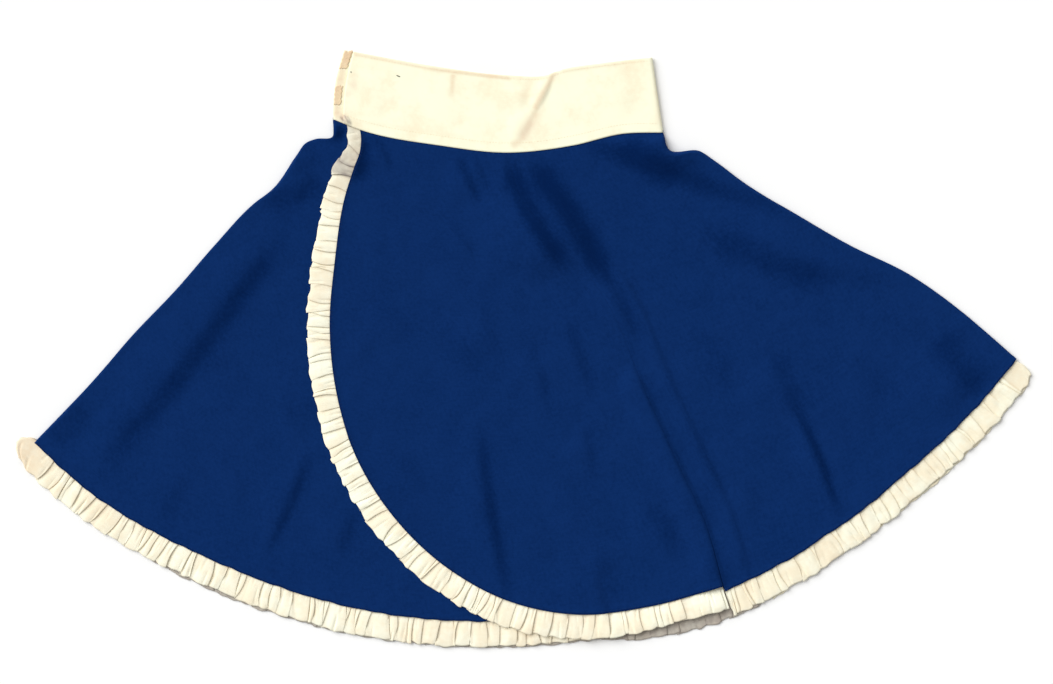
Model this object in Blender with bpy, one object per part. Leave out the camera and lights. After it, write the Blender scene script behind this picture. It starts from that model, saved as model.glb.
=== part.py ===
"""Wrap-over circle skirt of deep blue cotton, laid out flat, with a tall cream waistband.

The skirt is four gores of one flat ring, sewn side by side. The wearer's front is at the top of
the pile: the over gore, with its rounded free edge, lies on the under gore, and both lie on the
back. A cream ruffle runs along every gore's hem. Lengths are in metres, x is across the skirt,
y runs up to the waist and z is up from the surface that the skirt lies on.
"""
import math
import random
from collections import namedtuple

import bmesh
import bpy
from mathutils import Vector

# Walls of cloth and the clearances between them
CLOTH_WALL = 0.0012
RUFFLE_WALL = 0.0010
BAND_WALL = 0.0016
TAPE_WALL = 0.0010
SEAM_GAP = 0.0003
WAIST_GAP = 0.00045

# Heights of the middle of each layer
BACK_HEIGHT = CLOTH_WALL / 2
BAND_HEIGHTS = (BAND_WALL / 2, 0.0032, 0.0056)
UNDER_ON_BACK = 0.0030
UNDER_AT_HEM = 0.0036
FRONT_ON_BACK = 0.0036
FRONT_AT_HEM = 0.0046
FRONT_ON_UNDER = 0.0020
FRONT_ON_UNDER_HEM = 0.0071
SETTLE_FROM_BAND = 0.070
HEM_RISE_FROM = 0.600
HEM_RISE_TO = 0.652
HIDDEN_EDGE_SLOPE = 0.045
RUFFLE_RISE_FROM = 0.630
RUFFLE_RISE_TO = 0.652

# The ruffle: its width, its waves and how many of them each strip has
RUFFLE_WIDTH = 0.025
RUFFLE_WAVE = 0.0018
RUFFLE_WAVE_UNDERNEATH = 0.0012
WAVE_LEFT_AT_SEAM = 0.35
LOWEST_WAVE = 0.75
EDGE_UNEVENNESS = 0.0014
PLEATS = {"over": 62, "right_top": 28, "right_back": 20, "back": 36, "left_back": 6, "left_top": 44}

# How finely the panels are divided: rows down the cloth and columns across it
ROWS = (0.0, 0.035, 0.075, 0.115, 0.17, 0.25, 0.34, 0.44, 0.55, 0.66, 0.77, 0.88, 1.0)
BACK_ROWS = (0.0, 0.115, 0.34, 0.66, 1.0)
BAND_ROWS = (0.0, 0.33, 0.67, 1.0)
OVER_COLUMNS = 22
RIGHT_COLUMNS = (18, 11)
UNDER_COLUMNS = (20, 3)
BACK_COLUMNS = 16
BAND_COLUMNS = (12, 26, 28)
TAPE_COLUMNS = 3
FOLD_STEPS = 4

# A wall is upright where its cloth is at least this near to level
LYING = 0.80
SHARP_EDGE = math.radians(40)

# How far along a curve, as a part of it, its direction is taken
DIRECTION_REACH = 0.004

Place = namedtuple("Place", "x y")
Rim = namedtuple("Rim", "angle radius")
Fold = namedtuple("Fold", "x1 y1 x2 y2 half_width height")
Pleat = namedtuple("Pleat", "along lift")
Width = namedtuple("Width", "along width")
Tab = namedtuple("Tab", "name start end")
Side = namedtuple("Side", "outward axis height")

# Centre of the flat ring that the gores are cut from
CUT_CENTRE = Vector((-0.0360, 0.3845))

# Bottom centre of the finished skirt, which becomes the part's origin
MIDDLE_OF_SKIRT = Vector((0.0051, -0.0011, 0.0))


def rim_place(angle, radius):
    """Place on a circle round the cut centre; the angle in degrees turns down from +x."""
    turn = math.radians(angle)
    return Place(CUT_CENTRE.x + radius * math.cos(turn), CUT_CENTRE.y - radius * math.sin(turn))


# Hem of each layer, as seen from above
RIGHT_HEM = (Rim(69.3, 0.6655), Rim(64.0, 0.668), Rim(58.0, 0.6635), Rim(50.0, 0.659), Rim(36.8, 0.660))
BACK_HEM = (Rim(36.8, 0.660), Rim(58.0, 0.661), Rim(68.0, 0.671), Rim(84.0, 0.658), Rim(133.0, 0.6587))
UNDER_HEM = (Rim(80.0, 0.657), Rim(98.0, 0.658), Rim(114.0, 0.6565), Rim(127.0, 0.661), Rim(133.0, 0.6587))

# Hem angles at which the gores' seams and free edges end
FRONT_SEAM_ANGLE = 69.3
RIGHT_FOLD_ANGLE = 36.8
RIGHT_BACK_SEAM_ANGLE = 65.8
LEFT_BACK_SEAM_ANGLE = 125.8
LEFT_FOLD_ANGLE = 133.0
HIDDEN_EDGE_ANGLE = 80.0

# Waistband's lower and upper edge, from its left fold to its right fold
WAIST_SEAM = (
    Place(-0.1900, 0.2285),
    Place(-0.1635, 0.2180),
    Place(-0.0825, 0.2020),
    Place(-0.0165, 0.1950),
    Place(0.0485, 0.2020),
    Place(0.1005, 0.2140),
    Place(0.1395, 0.2150),
)
BAND_TOP = (
    Place(-0.1790, 0.2975),
    Place(-0.0935, 0.2820),
    Place(-0.0135, 0.2720),
    Place(0.0215, 0.2720),
    Place(0.0385, 0.2780),
    Place(0.0765, 0.2840),
    Place(0.1285, 0.2900),
)

# The band's upper end lies this far short of its left fold, at the lower and at the upper edge
BAND_END_LOWER = 0.0110
BAND_END_UPPER = 0.0100
BAND_HIDDEN_END = 0.40

# The rounded free edge of the over gore, from the band down and along the hem to the front seam
OVER_EDGE = (
    Place(-0.1621, 0.2171),
    Place(-0.1775, 0.1540),
    Place(-0.1885, 0.0860),
    Place(-0.1935, 0.0220),
    Place(-0.1865, -0.0460),
    Place(-0.1665, -0.1100),
    Place(-0.1285, -0.1700),
    Place(-0.0755, -0.2200),
    Place(-0.0105, -0.2540),
    Place(0.0555, -0.2660),
    Place(0.1265, -0.2580),
    rim_place(*RIGHT_HEM[0]),
)
# Where that edge and the front seam meet the band, and where the edge is taken to turn into the hem
OVER_START_ON_BAND = 0.0895
FRONT_SEAM_ON_BAND = 0.5240
OVER_EDGE_TURN = 0.42

# Seam between the over gore and the right gore
FRONT_SEAM = (
    Place(-0.0165, 0.1950),
    Place(0.0015, 0.1430),
    Place(0.0285, 0.1150),
    Place(0.0815, 0.0490),
    Place(0.1225, -0.0450),
    Place(0.1595, -0.1260),
    Place(0.1785, -0.1660),
    rim_place(*RIGHT_HEM[0]),
)

# Outer lines of the side folds, from the band to the hem
RIGHT_FOLD = (
    Place(0.1395, 0.2145),
    Place(0.1445, 0.1990),
    Place(0.1765, 0.1965),
    Place(0.1895, 0.1880),
    Place(0.2235, 0.1630),
    Place(0.2735, 0.1330),
    Place(0.3255, 0.1030),
    Place(0.3865, 0.0730),
    Place(0.4295, 0.0430),
    Place(0.4655, 0.0130),
    rim_place(*RIGHT_HEM[-1]),
)
LEFT_FOLD = (
    Place(-0.1905, 0.2275),
    Place(-0.1910, 0.2110),
    Place(-0.2075, 0.2090),
    Place(-0.2175, 0.2050),
    Place(-0.2265, 0.1930),
    Place(-0.2495, 0.1600),
    Place(-0.2705, 0.1435),
    Place(-0.3085, 0.1030),
    Place(-0.3475, 0.0580),
    Place(-0.3905, 0.0130),
    Place(-0.4295, -0.0320),
    rim_place(*UNDER_HEM[-1]),
)

# A seam bows this far sideways halfway down, and a soft fold keeps this much of its height at its ends
BACK_SEAM_BOW = 0.006
FOLD_LEFT_AT_ENDS = 0.35
FOLD_FADE = 0.35

# Where the back seams and the hidden edge meet the band, as parts of the waist seam's length
RIGHT_BACK_SEAM_ON_BAND = 0.880
LEFT_BACK_SEAM_ON_BAND = 0.255
HIDDEN_EDGE_ON_BAND = 0.390

# Soft ridges where the cloth doesn't lie quite flat, on the under gore and on the front
UNDER_FOLDS = (
    Fold(-0.2365, 0.1150, -0.4235, -0.1250, 0.030, 0.0045),
    Fold(-0.2245, -0.1150, -0.2565, -0.2120, 0.020, 0.0030),
    Fold(-0.1835, -0.1850, -0.1905, -0.2320, 0.016, 0.0020),
    Fold(-0.2400, 0.1520, -0.2050, 0.1490, 0.016, 0.0020),
)
FRONT_FOLDS = (
    Fold(-0.0205, 0.1810, 0.0495, 0.0810, 0.020, 0.0045),
    Fold(0.0015, 0.1740, 0.1085, 0.0480, 0.022, 0.0050),
    Fold(0.0695, 0.2000, 0.2165, 0.1550, 0.024, 0.0050),
    Fold(0.1765, 0.1110, 0.2965, 0.0550, 0.030, 0.0035),
    Fold(0.2535, -0.0250, 0.3195, -0.1650, 0.032, 0.0050),
    Fold(0.1635, -0.0790, 0.2235, -0.2120, 0.018, 0.0025),
    Fold(-0.0335, -0.1050, -0.0205, -0.2320, 0.024, 0.0025),
    Fold(-0.1625, 0.2000, -0.1645, 0.1500, 0.014, 0.0015),
    Fold(0.4235, -0.0120, 0.4635, -0.0450, 0.024, 0.0020),
)
BAND_FOLD = Fold(0.0305, 0.2760, -0.0085, 0.2020, 0.016, 0.0018)

# Width of the over gore's ruffle along its edge, narrow where it is tucked up at the band
OVER_RUFFLE_START = 0.008
OVER_RUFFLE_WIDTHS = (
    Width(0.0, 0.0140),
    Width(0.04, 0.0160),
    Width(0.10, 0.0215),
    Width(0.35, 0.0235),
    Width(1.0, RUFFLE_WIDTH),
)
HEM_RUFFLE_WIDTHS = (Width(0.0, RUFFLE_WIDTH), Width(1.0, RUFFLE_WIDTH))

# One wave of the ruffle: a slow rise and a quick fall, as parts of its length and its height
PLEAT_SHAPE = (Pleat(0.0, 0.0), Pleat(0.30, 0.65), Pleat(0.60, 1.0), Pleat(0.80, 0.85))

# Closure tape on the band's left fold, as parts of the way down from the band's upper edge
TAPE_TABS = (Tab("closure_tape_upper", 0.03, 0.24), Tab("closure_tape_lower", 0.52, 0.80))
TAPE_FROM_FOLD = 0.0016
TAPE_WIDTH = 0.0056

Finish = namedtuple("Finish", "name colour roughness metallic")
BLUE_COTTON = Finish("blue_cotton", (0.0037, 0.0232, 0.1119, 1.0), 0.85, 0.0)
CREAM_BAND = Finish("cream_band", (0.9387, 0.8963, 0.6939, 1.0), 0.80, 0.0)
CREAM_RUFFLE = Finish("cream_ruffle", (0.9131, 0.8469, 0.6654, 1.0), 0.82, 0.0)
TAN_TAPE = Finish("tan_tape", (0.8148, 0.6308, 0.4125, 1.0), 0.85, 0.0)


def clear_scene():
    """Remove whatever the scene holds."""
    for thing in list(bpy.data.objects):
        bpy.data.objects.remove(thing, do_unlink=True)


def material(finish):
    """Return the finish as a material, made once."""
    made = bpy.data.materials.get(finish.name)
    if made is None:
        made = bpy.data.materials.new(finish.name)
        made.use_nodes = True
        shader = made.node_tree.nodes["Principled BSDF"]
        shader.inputs["Base Color"].default_value = finish.colour
        shader.inputs["Roughness"].default_value = finish.roughness
        shader.inputs["Metallic"].default_value = finish.metallic
    return made


def smooth(t):
    """Ease from 0 to 1 with level ends."""
    t = min(max(t, 0.0), 1.0)
    return t * t * (3.0 - 2.0 * t)


def mix(a, b, t):
    """The value a part t of the way from a to b."""
    return a + (b - a) * t


def even_steps(count, start=0.0, end=1.0):
    """Evenly spaced values from start to end."""
    return [mix(start, end, i / count) for i in range(count + 1)]


def read_between(rows, key):
    """Read the second column of a table at a key, easing from row to row."""
    rows = sorted(rows)
    for low, high in zip(rows, rows[1:]):
        if key <= high[0]:
            return mix(low[1], high[1], smooth((key - low[0]) / (high[0] - low[0])))
    return rows[-1][1]


def smooth_curve(places):
    """Return a function of 0 to 1 that runs through the places at an even pace."""
    knots = [Vector(place) for place in places]
    steps = [(b - a).length for a, b in zip(knots, knots[1:])]
    slopes = [(b - a) / step for a, b, step in zip(knots, knots[1:], steps)]
    tangents = [slopes[0]]
    for i in range(1, len(knots) - 1):
        before, after = steps[i - 1], steps[i]
        tangents.append((slopes[i - 1] * after + slopes[i] * before) / (before + after))
    tangents.append(slopes[-1])
    total = sum(steps)

    def at(t):
        left = t * total
        i = 0
        while i < len(steps) - 1 and left > steps[i]:
            left -= steps[i]
            i += 1
        step = steps[i]
        s = left / step
        return (
            knots[i] * (1 + 2 * s) * (1 - s) ** 2
            + knots[i + 1] * s * s * (3 - 2 * s)
            + tangents[i] * (step * s * (1 - s) ** 2)
            - tangents[i + 1] * (step * s * s * (1 - s))
        )

    return at


def part_of(curve, start, end):
    """The stretch of a curve between two of its values."""
    return lambda t: curve(mix(start, end, t))


def ends_at(curve, start, end):
    """A curve eased so that it starts and ends exactly at two points."""
    first_miss = start - curve(0.0)
    last_miss = end - curve(1.0)
    return lambda t: curve(t) + first_miss * (1.0 - t) ** 3 + last_miss * t ** 3


def side_of(curve, t):
    """Unit vector to the left of a curve's run."""
    ahead = curve(min(t + DIRECTION_REACH, 1.0)) - curve(max(t - DIRECTION_REACH, 0.0))
    return Vector((-ahead.y, ahead.x)).normalized()


def beside(curve, distance):
    """A curve moved sideways, to the left of its run where the distance is positive."""
    return lambda t: curve(t) + side_of(curve, t) * distance


def length_of(curve, count=50):
    """Length of a curve, measured along short steps."""
    points = [curve(t) for t in even_steps(count)]
    return sum((b - a).length for a, b in zip(points, points[1:]))


def hem_curve(hem, start_angle, end_angle):
    """The hem between two angles, its radius read from the rows of its table."""

    def at(t):
        angle = mix(start_angle, end_angle, t)
        return Vector(rim_place(angle, read_between(hem, angle)))

    return at


def below_band(start, end):
    """The waist edge of a panel, just clear of the band."""
    return lambda t: WAIST(mix(start, end, t)) - Vector((0.0, WAIST_GAP))


def seam_line(on_band, hem, angle, bow):
    """A seam or edge from the band to the hem, bowed a little as the gores are."""
    top = below_band(on_band, on_band)(0.0)
    bottom = hem_curve(hem, angle, angle)(0.0)
    return smooth_curve((top, (top + bottom) / 2 + Vector((bow, 0.0)), bottom))


def patch(top, bottom, left, right):
    """Fill a four-sided outline; u runs from left to right and v from top to bottom.

    The top and bottom edges are eased to end exactly on the side edges.
    """
    top = ends_at(top, left(0.0), right(0.0))
    bottom = ends_at(bottom, left(1.0), right(1.0))

    def at(u, v):
        across = mix(top(u), bottom(u), v)
        down = mix(left(v), right(v), u)
        straight = mix(mix(left(0.0), right(0.0), u), mix(left(1.0), right(1.0), u), v)
        return across + down - straight

    return at


def ridge(place, fold):
    """Height that one soft fold adds at a place."""
    start = Vector((fold.x1, fold.y1))
    run = Vector((fold.x2, fold.y2)) - start
    near = min(max((place - start).dot(run) / run.length_squared, 0.0), 1.0)
    distance = (place - start - run * near).length
    if distance >= fold.half_width:
        return 0.0
    across = math.cos(0.5 * math.pi * distance / fold.half_width) ** 2
    along = mix(FOLD_LEFT_AT_ENDS, 1.0, smooth(min(near, 1.0 - near) / FOLD_FADE))
    return fold.height * across * along


def folds(place, table):
    """Height that the tallest of a table's folds adds at a place."""
    return max(ridge(place, fold) for fold in table)


def near_hem(place):
    """0 well inside the hem and 1 at it."""
    reach = (place - CUT_CENTRE).length
    return smooth((reach - HEM_RISE_FROM) / (HEM_RISE_TO - HEM_RISE_FROM))


def near_band(place):
    """1 at the band and 0 where the cloth has settled."""
    nearest = SETTLE_FROM_BAND
    for start, end in zip(WAIST_SEAM, WAIST_SEAM[1:]):
        run = Vector(end) - Vector(start)
        along = min(max((place - Vector(start)).dot(run) / run.length_squared, 0.0), 1.0)
        nearest = min(nearest, (place - Vector(start) - run * along).length)
    return 1.0 - smooth(nearest / SETTLE_FROM_BAND)


def on_under_gore(place):
    """1 over the under gore, easing to 0 beyond its hidden edge."""
    start = HIDDEN_EDGE(0.0)
    run = HIDDEN_EDGE(1.0) - start
    beyond = (place - start).dot(Vector((-run.y, run.x)).normalized())
    return 1.0 - smooth(beyond / HIDDEN_EDGE_SLOPE)


def under_height(place):
    """Middle of the under gore's upper half."""
    lying = mix(UNDER_ON_BACK, UNDER_AT_HEM, near_hem(place)) + folds(place, UNDER_FOLDS)
    return mix(lying, BAND_HEIGHTS[1], near_band(place))


def front_height(place):
    """Middle of the topmost layer: the over gore and the right gore's upper half."""
    hem = near_hem(place)
    on_under = mix(under_height(place) + FRONT_ON_UNDER, FRONT_ON_UNDER_HEM, hem)
    on_back = mix(FRONT_ON_BACK, FRONT_AT_HEM, hem)
    lying = mix(on_back, on_under, on_under_gore(place)) + folds(place, FRONT_FOLDS)
    return mix(lying, BAND_HEIGHTS[2], near_band(place))


def lift(place, height):
    """A point at a height above a place."""
    return Vector((place.x, place.y, height))


def close_solid(name, rings, finish):
    """Join rings of points into one closed body with capped ends."""
    shape = bmesh.new()
    loops = [[shape.verts.new(point - MIDDLE_OF_SKIRT) for point in ring] for ring in rings]
    count = len(loops[0])
    for near, far in zip(loops, loops[1:]):
        for i in range(count):
            shape.faces.new((near[i], near[(i + 1) % count], far[(i + 1) % count], far[i]))
    for loop in (loops[0], loops[-1]):
        for i in range(count // 2 - 1):
            shape.faces.new((loop[i], loop[i + 1], loop[count - 2 - i], loop[count - 1 - i]))
    bmesh.ops.recalc_face_normals(shape, faces=shape.faces)
    bmesh.ops.triangulate(shape, faces=shape.faces)
    mesh = bpy.data.meshes.new(name)
    shape.to_mesh(mesh)
    shape.free()
    mesh.shade_smooth()
    mesh.set_sharp_from_angle(angle=SHARP_EDGE)
    mesh.materials.append(material(finish))
    bpy.context.scene.collection.objects.link(bpy.data.objects.new(name, mesh))


def cloth_wall(name, columns, thickness, finish):
    """Give a sheet of points a wall: each column runs down the cloth, and they follow each other.

    Where the cloth lies nearly level its wall is upright, so that its edges keep clear of the next
    piece; round a side fold the wall follows the turn.
    """
    rings = []
    last_column = len(columns) - 1
    last_row = len(columns[0]) - 1
    for i, column in enumerate(columns):
        outside = []
        inside = []
        for j, point in enumerate(column):
            across = columns[min(i + 1, last_column)][j] - columns[max(i - 1, 0)][j]
            down = column[min(j + 1, last_row)] - column[max(j - 1, 0)]
            normal = across.cross(down).normalized()
            if abs(normal.z) > LYING:
                normal = Vector((0.0, 0.0, math.copysign(1.0, normal.z)))
            for side, face in ((outside, 1.0), (inside, -1.0)):
                wall_point = point + normal * (face * thickness / 2)
                wall_point.z = max(wall_point.z, 0.0)
                side.append(wall_point)
        rings.append(outside + inside[::-1])
    close_solid(name, rings, finish)


def turn_steps():
    """The angles of the points round a side fold, from its upper layer to its lower one."""
    return [math.pi * (0.5 - step / FOLD_STEPS) for step in range(1, FOLD_STEPS)]


def round_fold(axis, outward, low, high):
    """Points round a side fold, from its upper layer to its lower one, both left out."""
    radius = (high - low) / 2
    middle = (high + low) / 2
    return [
        lift(axis + outward * (radius * math.cos(turn)), middle + radius * math.sin(turn))
        for turn in turn_steps()
    ]


# Curves that more than one piece shares
WAIST = smooth_curve(WAIST_SEAM)
BAND_UPPER = smooth_curve(BAND_TOP)
OVER_EDGE_LINE = smooth_curve(OVER_EDGE)
FRONT_SEAM_LINE = smooth_curve(FRONT_SEAM)
RIGHT_FOLD_LINE = smooth_curve(RIGHT_FOLD)
LEFT_FOLD_LINE = smooth_curve(LEFT_FOLD)
RIGHT_BACK_SEAM = seam_line(RIGHT_BACK_SEAM_ON_BAND, BACK_HEM, RIGHT_BACK_SEAM_ANGLE, BACK_SEAM_BOW)
LEFT_BACK_SEAM = seam_line(LEFT_BACK_SEAM_ON_BAND, BACK_HEM, LEFT_BACK_SEAM_ANGLE, -BACK_SEAM_BOW)
HIDDEN_EDGE = seam_line(HIDDEN_EDGE_ON_BAND, UNDER_HEM, HIDDEN_EDGE_ANGLE, 0.0)


def make_side(fold_line, sign, height):
    """What a folded gore and its ruffle need of a side fold; outward is left of its run for a sign of 1.

    The axis about which the cloth turns is the fold's outer line, moved in by its radius.
    """

    def outward(v):
        return side_of(fold_line, v) * sign

    def axis(v):
        outer = fold_line(v)
        radius = (height(outer) - BACK_HEIGHT) / 2
        return outer - outward(v) * (radius + CLOTH_WALL / 2)

    return Side(outward, axis, height)


RIGHT_SIDE = make_side(RIGHT_FOLD_LINE, 1.0, front_height)
LEFT_SIDE = make_side(LEFT_FOLD_LINE, -1.0, under_height)


def over_panel():
    """The over gore; u runs from the front seam to the rounded edge, which turns into its hem."""
    return patch(
        below_band(FRONT_SEAM_ON_BAND, OVER_START_ON_BAND),
        part_of(OVER_EDGE_LINE, 1.0, OVER_EDGE_TURN),
        beside(FRONT_SEAM_LINE, -SEAM_GAP / 2),
        part_of(OVER_EDGE_LINE, 0.0, OVER_EDGE_TURN),
    )


def right_panels():
    """Upper and lower half of the right gore; u runs from its seams to the fold."""
    upper = patch(
        below_band(FRONT_SEAM_ON_BAND, 1.0),
        hem_curve(RIGHT_HEM, FRONT_SEAM_ANGLE, RIGHT_FOLD_ANGLE),
        beside(FRONT_SEAM_LINE, SEAM_GAP / 2),
        RIGHT_SIDE.axis,
    )
    lower = patch(
        below_band(RIGHT_BACK_SEAM_ON_BAND, 1.0),
        hem_curve(BACK_HEM, RIGHT_BACK_SEAM_ANGLE, RIGHT_FOLD_ANGLE),
        beside(RIGHT_BACK_SEAM, SEAM_GAP / 2),
        RIGHT_SIDE.axis,
    )
    return upper, lower


def left_panels():
    """Upper and lower half of the under gore; u runs from its hidden edge and seam to the fold."""
    upper = patch(
        below_band(HIDDEN_EDGE_ON_BAND, 0.0),
        hem_curve(UNDER_HEM, HIDDEN_EDGE_ANGLE, LEFT_FOLD_ANGLE),
        HIDDEN_EDGE,
        LEFT_SIDE.axis,
    )
    lower = patch(
        below_band(LEFT_BACK_SEAM_ON_BAND, 0.0),
        hem_curve(BACK_HEM, LEFT_BACK_SEAM_ANGLE, LEFT_FOLD_ANGLE),
        beside(LEFT_BACK_SEAM, -SEAM_GAP / 2),
        LEFT_SIDE.axis,
    )
    return upper, lower


def back_panel():
    """The back gore between the two back seams; u runs from the right seam to the left one."""
    return patch(
        below_band(RIGHT_BACK_SEAM_ON_BAND, LEFT_BACK_SEAM_ON_BAND),
        hem_curve(BACK_HEM, RIGHT_BACK_SEAM_ANGLE, LEFT_BACK_SEAM_ANGLE),
        beside(RIGHT_BACK_SEAM, -SEAM_GAP / 2),
        beside(LEFT_BACK_SEAM, SEAM_GAP / 2),
    )


def sheet_columns(panel, height, count, rows):
    """The points of a panel, column by column, each at its height."""
    return [[lift(panel(u, v), height(panel(u, v))) for v in rows] for u in even_steps(count)]


def level(place):
    """Middle of the lowest layer, which rests flat."""
    return BACK_HEIGHT


def make_folded_gore(name, panels, side, counts):
    """A gore that runs along the upper layer, round a side fold and back along the lower layer."""
    upper, lower = panels
    columns = sheet_columns(upper, side.height, counts[0], ROWS)
    turned = []
    for v in ROWS:
        axis = upper(1.0, v)
        turned.append(round_fold(axis, side.outward(v), BACK_HEIGHT, side.height(axis)))
    columns += [[points[step] for points in turned] for step in range(FOLD_STEPS - 1)]
    columns += sheet_columns(lower, level, counts[1], ROWS)[::-1]
    cloth_wall(name, columns, CLOTH_WALL, BLUE_COTTON)


def make_gores():
    """The four blue gores."""
    over = sheet_columns(over_panel(), front_height, OVER_COLUMNS, ROWS)
    cloth_wall("front_over", over, CLOTH_WALL, BLUE_COTTON)
    make_folded_gore("side_right", right_panels(), RIGHT_SIDE, RIGHT_COLUMNS)
    make_folded_gore("front_under", left_panels(), LEFT_SIDE, UNDER_COLUMNS)
    back = sheet_columns(back_panel(), level, BACK_COLUMNS, BACK_ROWS)
    cloth_wall("back", back, CLOTH_WALL, BLUE_COTTON)


def on_band(t, row):
    """A place on the band: t runs from its left fold to its right one, row from waist to top."""
    return mix(WAIST(t), BAND_UPPER(t), row)


def band_layer(start, end, count, height):
    """One layer of the band; its start and end are values of t for each row of the band."""
    columns = []
    for part in even_steps(count):
        places = [on_band(mix(a, b, part), row) for a, b, row in zip(start, end, BAND_ROWS)]
        columns.append([lift(place, height(place)) for place in places])
    return columns


def band_fold(t, sign, low, high):
    """The turn of the band at a fold, from its upper layer to its lower one."""
    outward = side_of(part_of(lambda row: on_band(t, row), 1.0, 0.0), 0.5) * sign
    turned = [round_fold(on_band(t, row), outward, low, high) for row in BAND_ROWS]
    return [[points[step] for points in turned] for step in range(FOLD_STEPS - 1)]


def make_waistband():
    """One strip: hidden end, left fold, back, right fold and the upper end at the left."""
    low, middle, high = BAND_HEIGHTS

    def upper_height(place):
        return high + ridge(place, BAND_FOLD)

    length = length_of(WAIST)
    rows = len(BAND_ROWS)
    left = ((middle - low) / 2 + BAND_WALL / 2) / length
    right = 1.0 - ((high - low) / 2 + BAND_WALL / 2) / length
    upper_end = [mix(BAND_END_LOWER, BAND_END_UPPER, row) / length for row in BAND_ROWS]
    hidden, back, upper = BAND_COLUMNS
    columns = band_layer([BAND_HIDDEN_END] * rows, [left] * rows, hidden, lambda place: middle)
    columns += band_fold(left, -1.0, low, middle)
    columns += band_layer([left] * rows, [right] * rows, back, lambda place: low)
    columns += band_fold(right, 1.0, low, high)[::-1]
    columns += band_layer([right] * rows, upper_end, upper, upper_height)
    cloth_wall("waistband", columns, BAND_WALL, CREAM_BAND)


def make_tape_tabs():
    """Two short tapes on the band's left fold, beside the end of its upper layer."""
    base = BAND_HEIGHTS[1] + BAND_WALL / 2 + SEAM_GAP
    top = base + TAPE_WALL
    for tab in TAPE_TABS:
        rings = []
        for part in even_steps(TAPE_COLUMNS, tab.start, tab.end):
            outer = mix(BAND_UPPER(0.0), WAIST(0.0), part) + Vector((TAPE_FROM_FOLD, 0.0))
            inner = outer + Vector((TAPE_WIDTH, 0.0))
            rings.append([lift(outer, base), lift(inner, base), lift(inner, top), lift(outer, top)])
        close_solid(tab.name, rings, TAN_TAPE)


def pleated(edge, outward, pleats, widths, seed):
    """Yield each section of a strip: inner place, outer place and how far its wave is raised."""
    uneven = random.Random(seed)
    for k in range(pleats + 1):
        longer = uneven.uniform(-EDGE_UNEVENNESS, EDGE_UNEVENNESS)
        lean = uneven.uniform(-EDGE_UNEVENNESS, EDGE_UNEVENNESS)
        tallness = uneven.uniform(LOWEST_WAVE, 1.0)
        for shape in PLEAT_SHAPE if k < pleats else PLEAT_SHAPE[:1]:
            t = (k + shape.along) / pleats
            out = outward(t)
            inner = edge(t) + out * SEAM_GAP
            wide = read_between(widths, t) - SEAM_GAP + longer * shape.lift
            outer = inner + out * wide + Vector((-out.y, out.x)) * (lean * shape.lift)
            yield inner, outer, shape.lift * tallness


def raised_section(inner, outer, inner_height, outer_height, wave):
    """Four corners of a ruffle's section on an upper layer; its wave lifts both faces."""
    half = RUFFLE_WALL / 2
    near = inner_height + RUFFLE_WAVE * WAVE_LEFT_AT_SEAM * wave
    far = outer_height + RUFFLE_WAVE * wave
    return [
        lift(inner, near + half),
        lift(outer, far + half),
        lift(outer, far - half),
        lift(inner, near - half),
    ]


def lying_section(inner, outer, wave):
    """Four corners of a ruffle's section that rests flat; its wave lifts the upper face alone."""
    near = RUFFLE_WALL + RUFFLE_WAVE_UNDERNEATH * WAVE_LEFT_AT_SEAM * wave
    far = RUFFLE_WALL + RUFFLE_WAVE_UNDERNEATH * wave
    return [lift(inner, 0.0), lift(outer, 0.0), lift(outer, far), lift(inner, near)]


def from_centre(edge):
    """Unit vectors away from the cut centre, along a hem."""
    return lambda t: (edge(t) - CUT_CENTRE).normalized()


def turned_sections(axis, away, outward, high):
    """A ruffle's sections round a side fold, from its upper layer to the one that rests flat."""
    half = RUFFLE_WALL / 2
    middle = (high + half) / 2
    radius = high - middle
    rings = []
    for turn in turn_steps():
        ring = []
        corners = (
            (radius + half, SEAM_GAP),
            (radius + half, RUFFLE_WIDTH),
            (radius - half, RUFFLE_WIDTH),
            (radius - half, SEAM_GAP),
        )
        for reach, along in corners:
            flat = axis + away * along + outward * (reach * math.cos(turn))
            ring.append(lift(flat, middle + reach * math.sin(turn)))
        rings.append(ring)
    return rings


def make_folded_ruffle(name, panels, side, pleats, seed):
    """A strip on a folded gore's hem: upper layer, round the fold, lower layer."""
    upper, lower = panels
    upper_pleats, lower_pleats = pleats

    def upper_hem(t):
        return upper(t, 1.0)

    def lower_hem(t):
        return lower(1.0 - t, 1.0)

    away = from_centre(upper_hem)
    rings = []
    for inner, outer, wave in pleated(upper_hem, away, upper_pleats, HEM_RUFFLE_WIDTHS, seed):
        height = side.height(inner)
        rings.append(raised_section(inner, outer, height, height, wave))
    corner = upper_hem(1.0)
    rings += turned_sections(corner, away(1.0), side.outward(1.0), side.height(corner))
    under = pleated(lower_hem, from_centre(lower_hem), lower_pleats, HEM_RUFFLE_WIDTHS, seed + 1)
    rings += [lying_section(*section) for section in under]
    close_solid(name, rings, CREAM_RUFFLE)


def make_over_ruffle():
    """The strip on the over gore's rounded edge and hem, lying on the under gore and its ruffle."""
    edge = part_of(OVER_EDGE_LINE, OVER_RUFFLE_START, 1.0)
    resting_above = (CLOTH_WALL + RUFFLE_WALL) / 2 + 2 * SEAM_GAP

    def outward(t):
        return -side_of(edge, t)

    rings = []
    for inner, outer, wave in pleated(edge, outward, PLEATS["over"], OVER_RUFFLE_WIDTHS, seed=1):
        reach = (outer - CUT_CENTRE).length
        rise = smooth((reach - RUFFLE_RISE_FROM) / (RUFFLE_RISE_TO - RUFFLE_RISE_FROM))
        far = mix(under_height(outer) + resting_above, FRONT_ON_UNDER_HEM, rise)
        rings.append(raised_section(inner, outer, front_height(inner), far, wave))
    close_solid("ruffle_over", rings, CREAM_RUFFLE)


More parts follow.
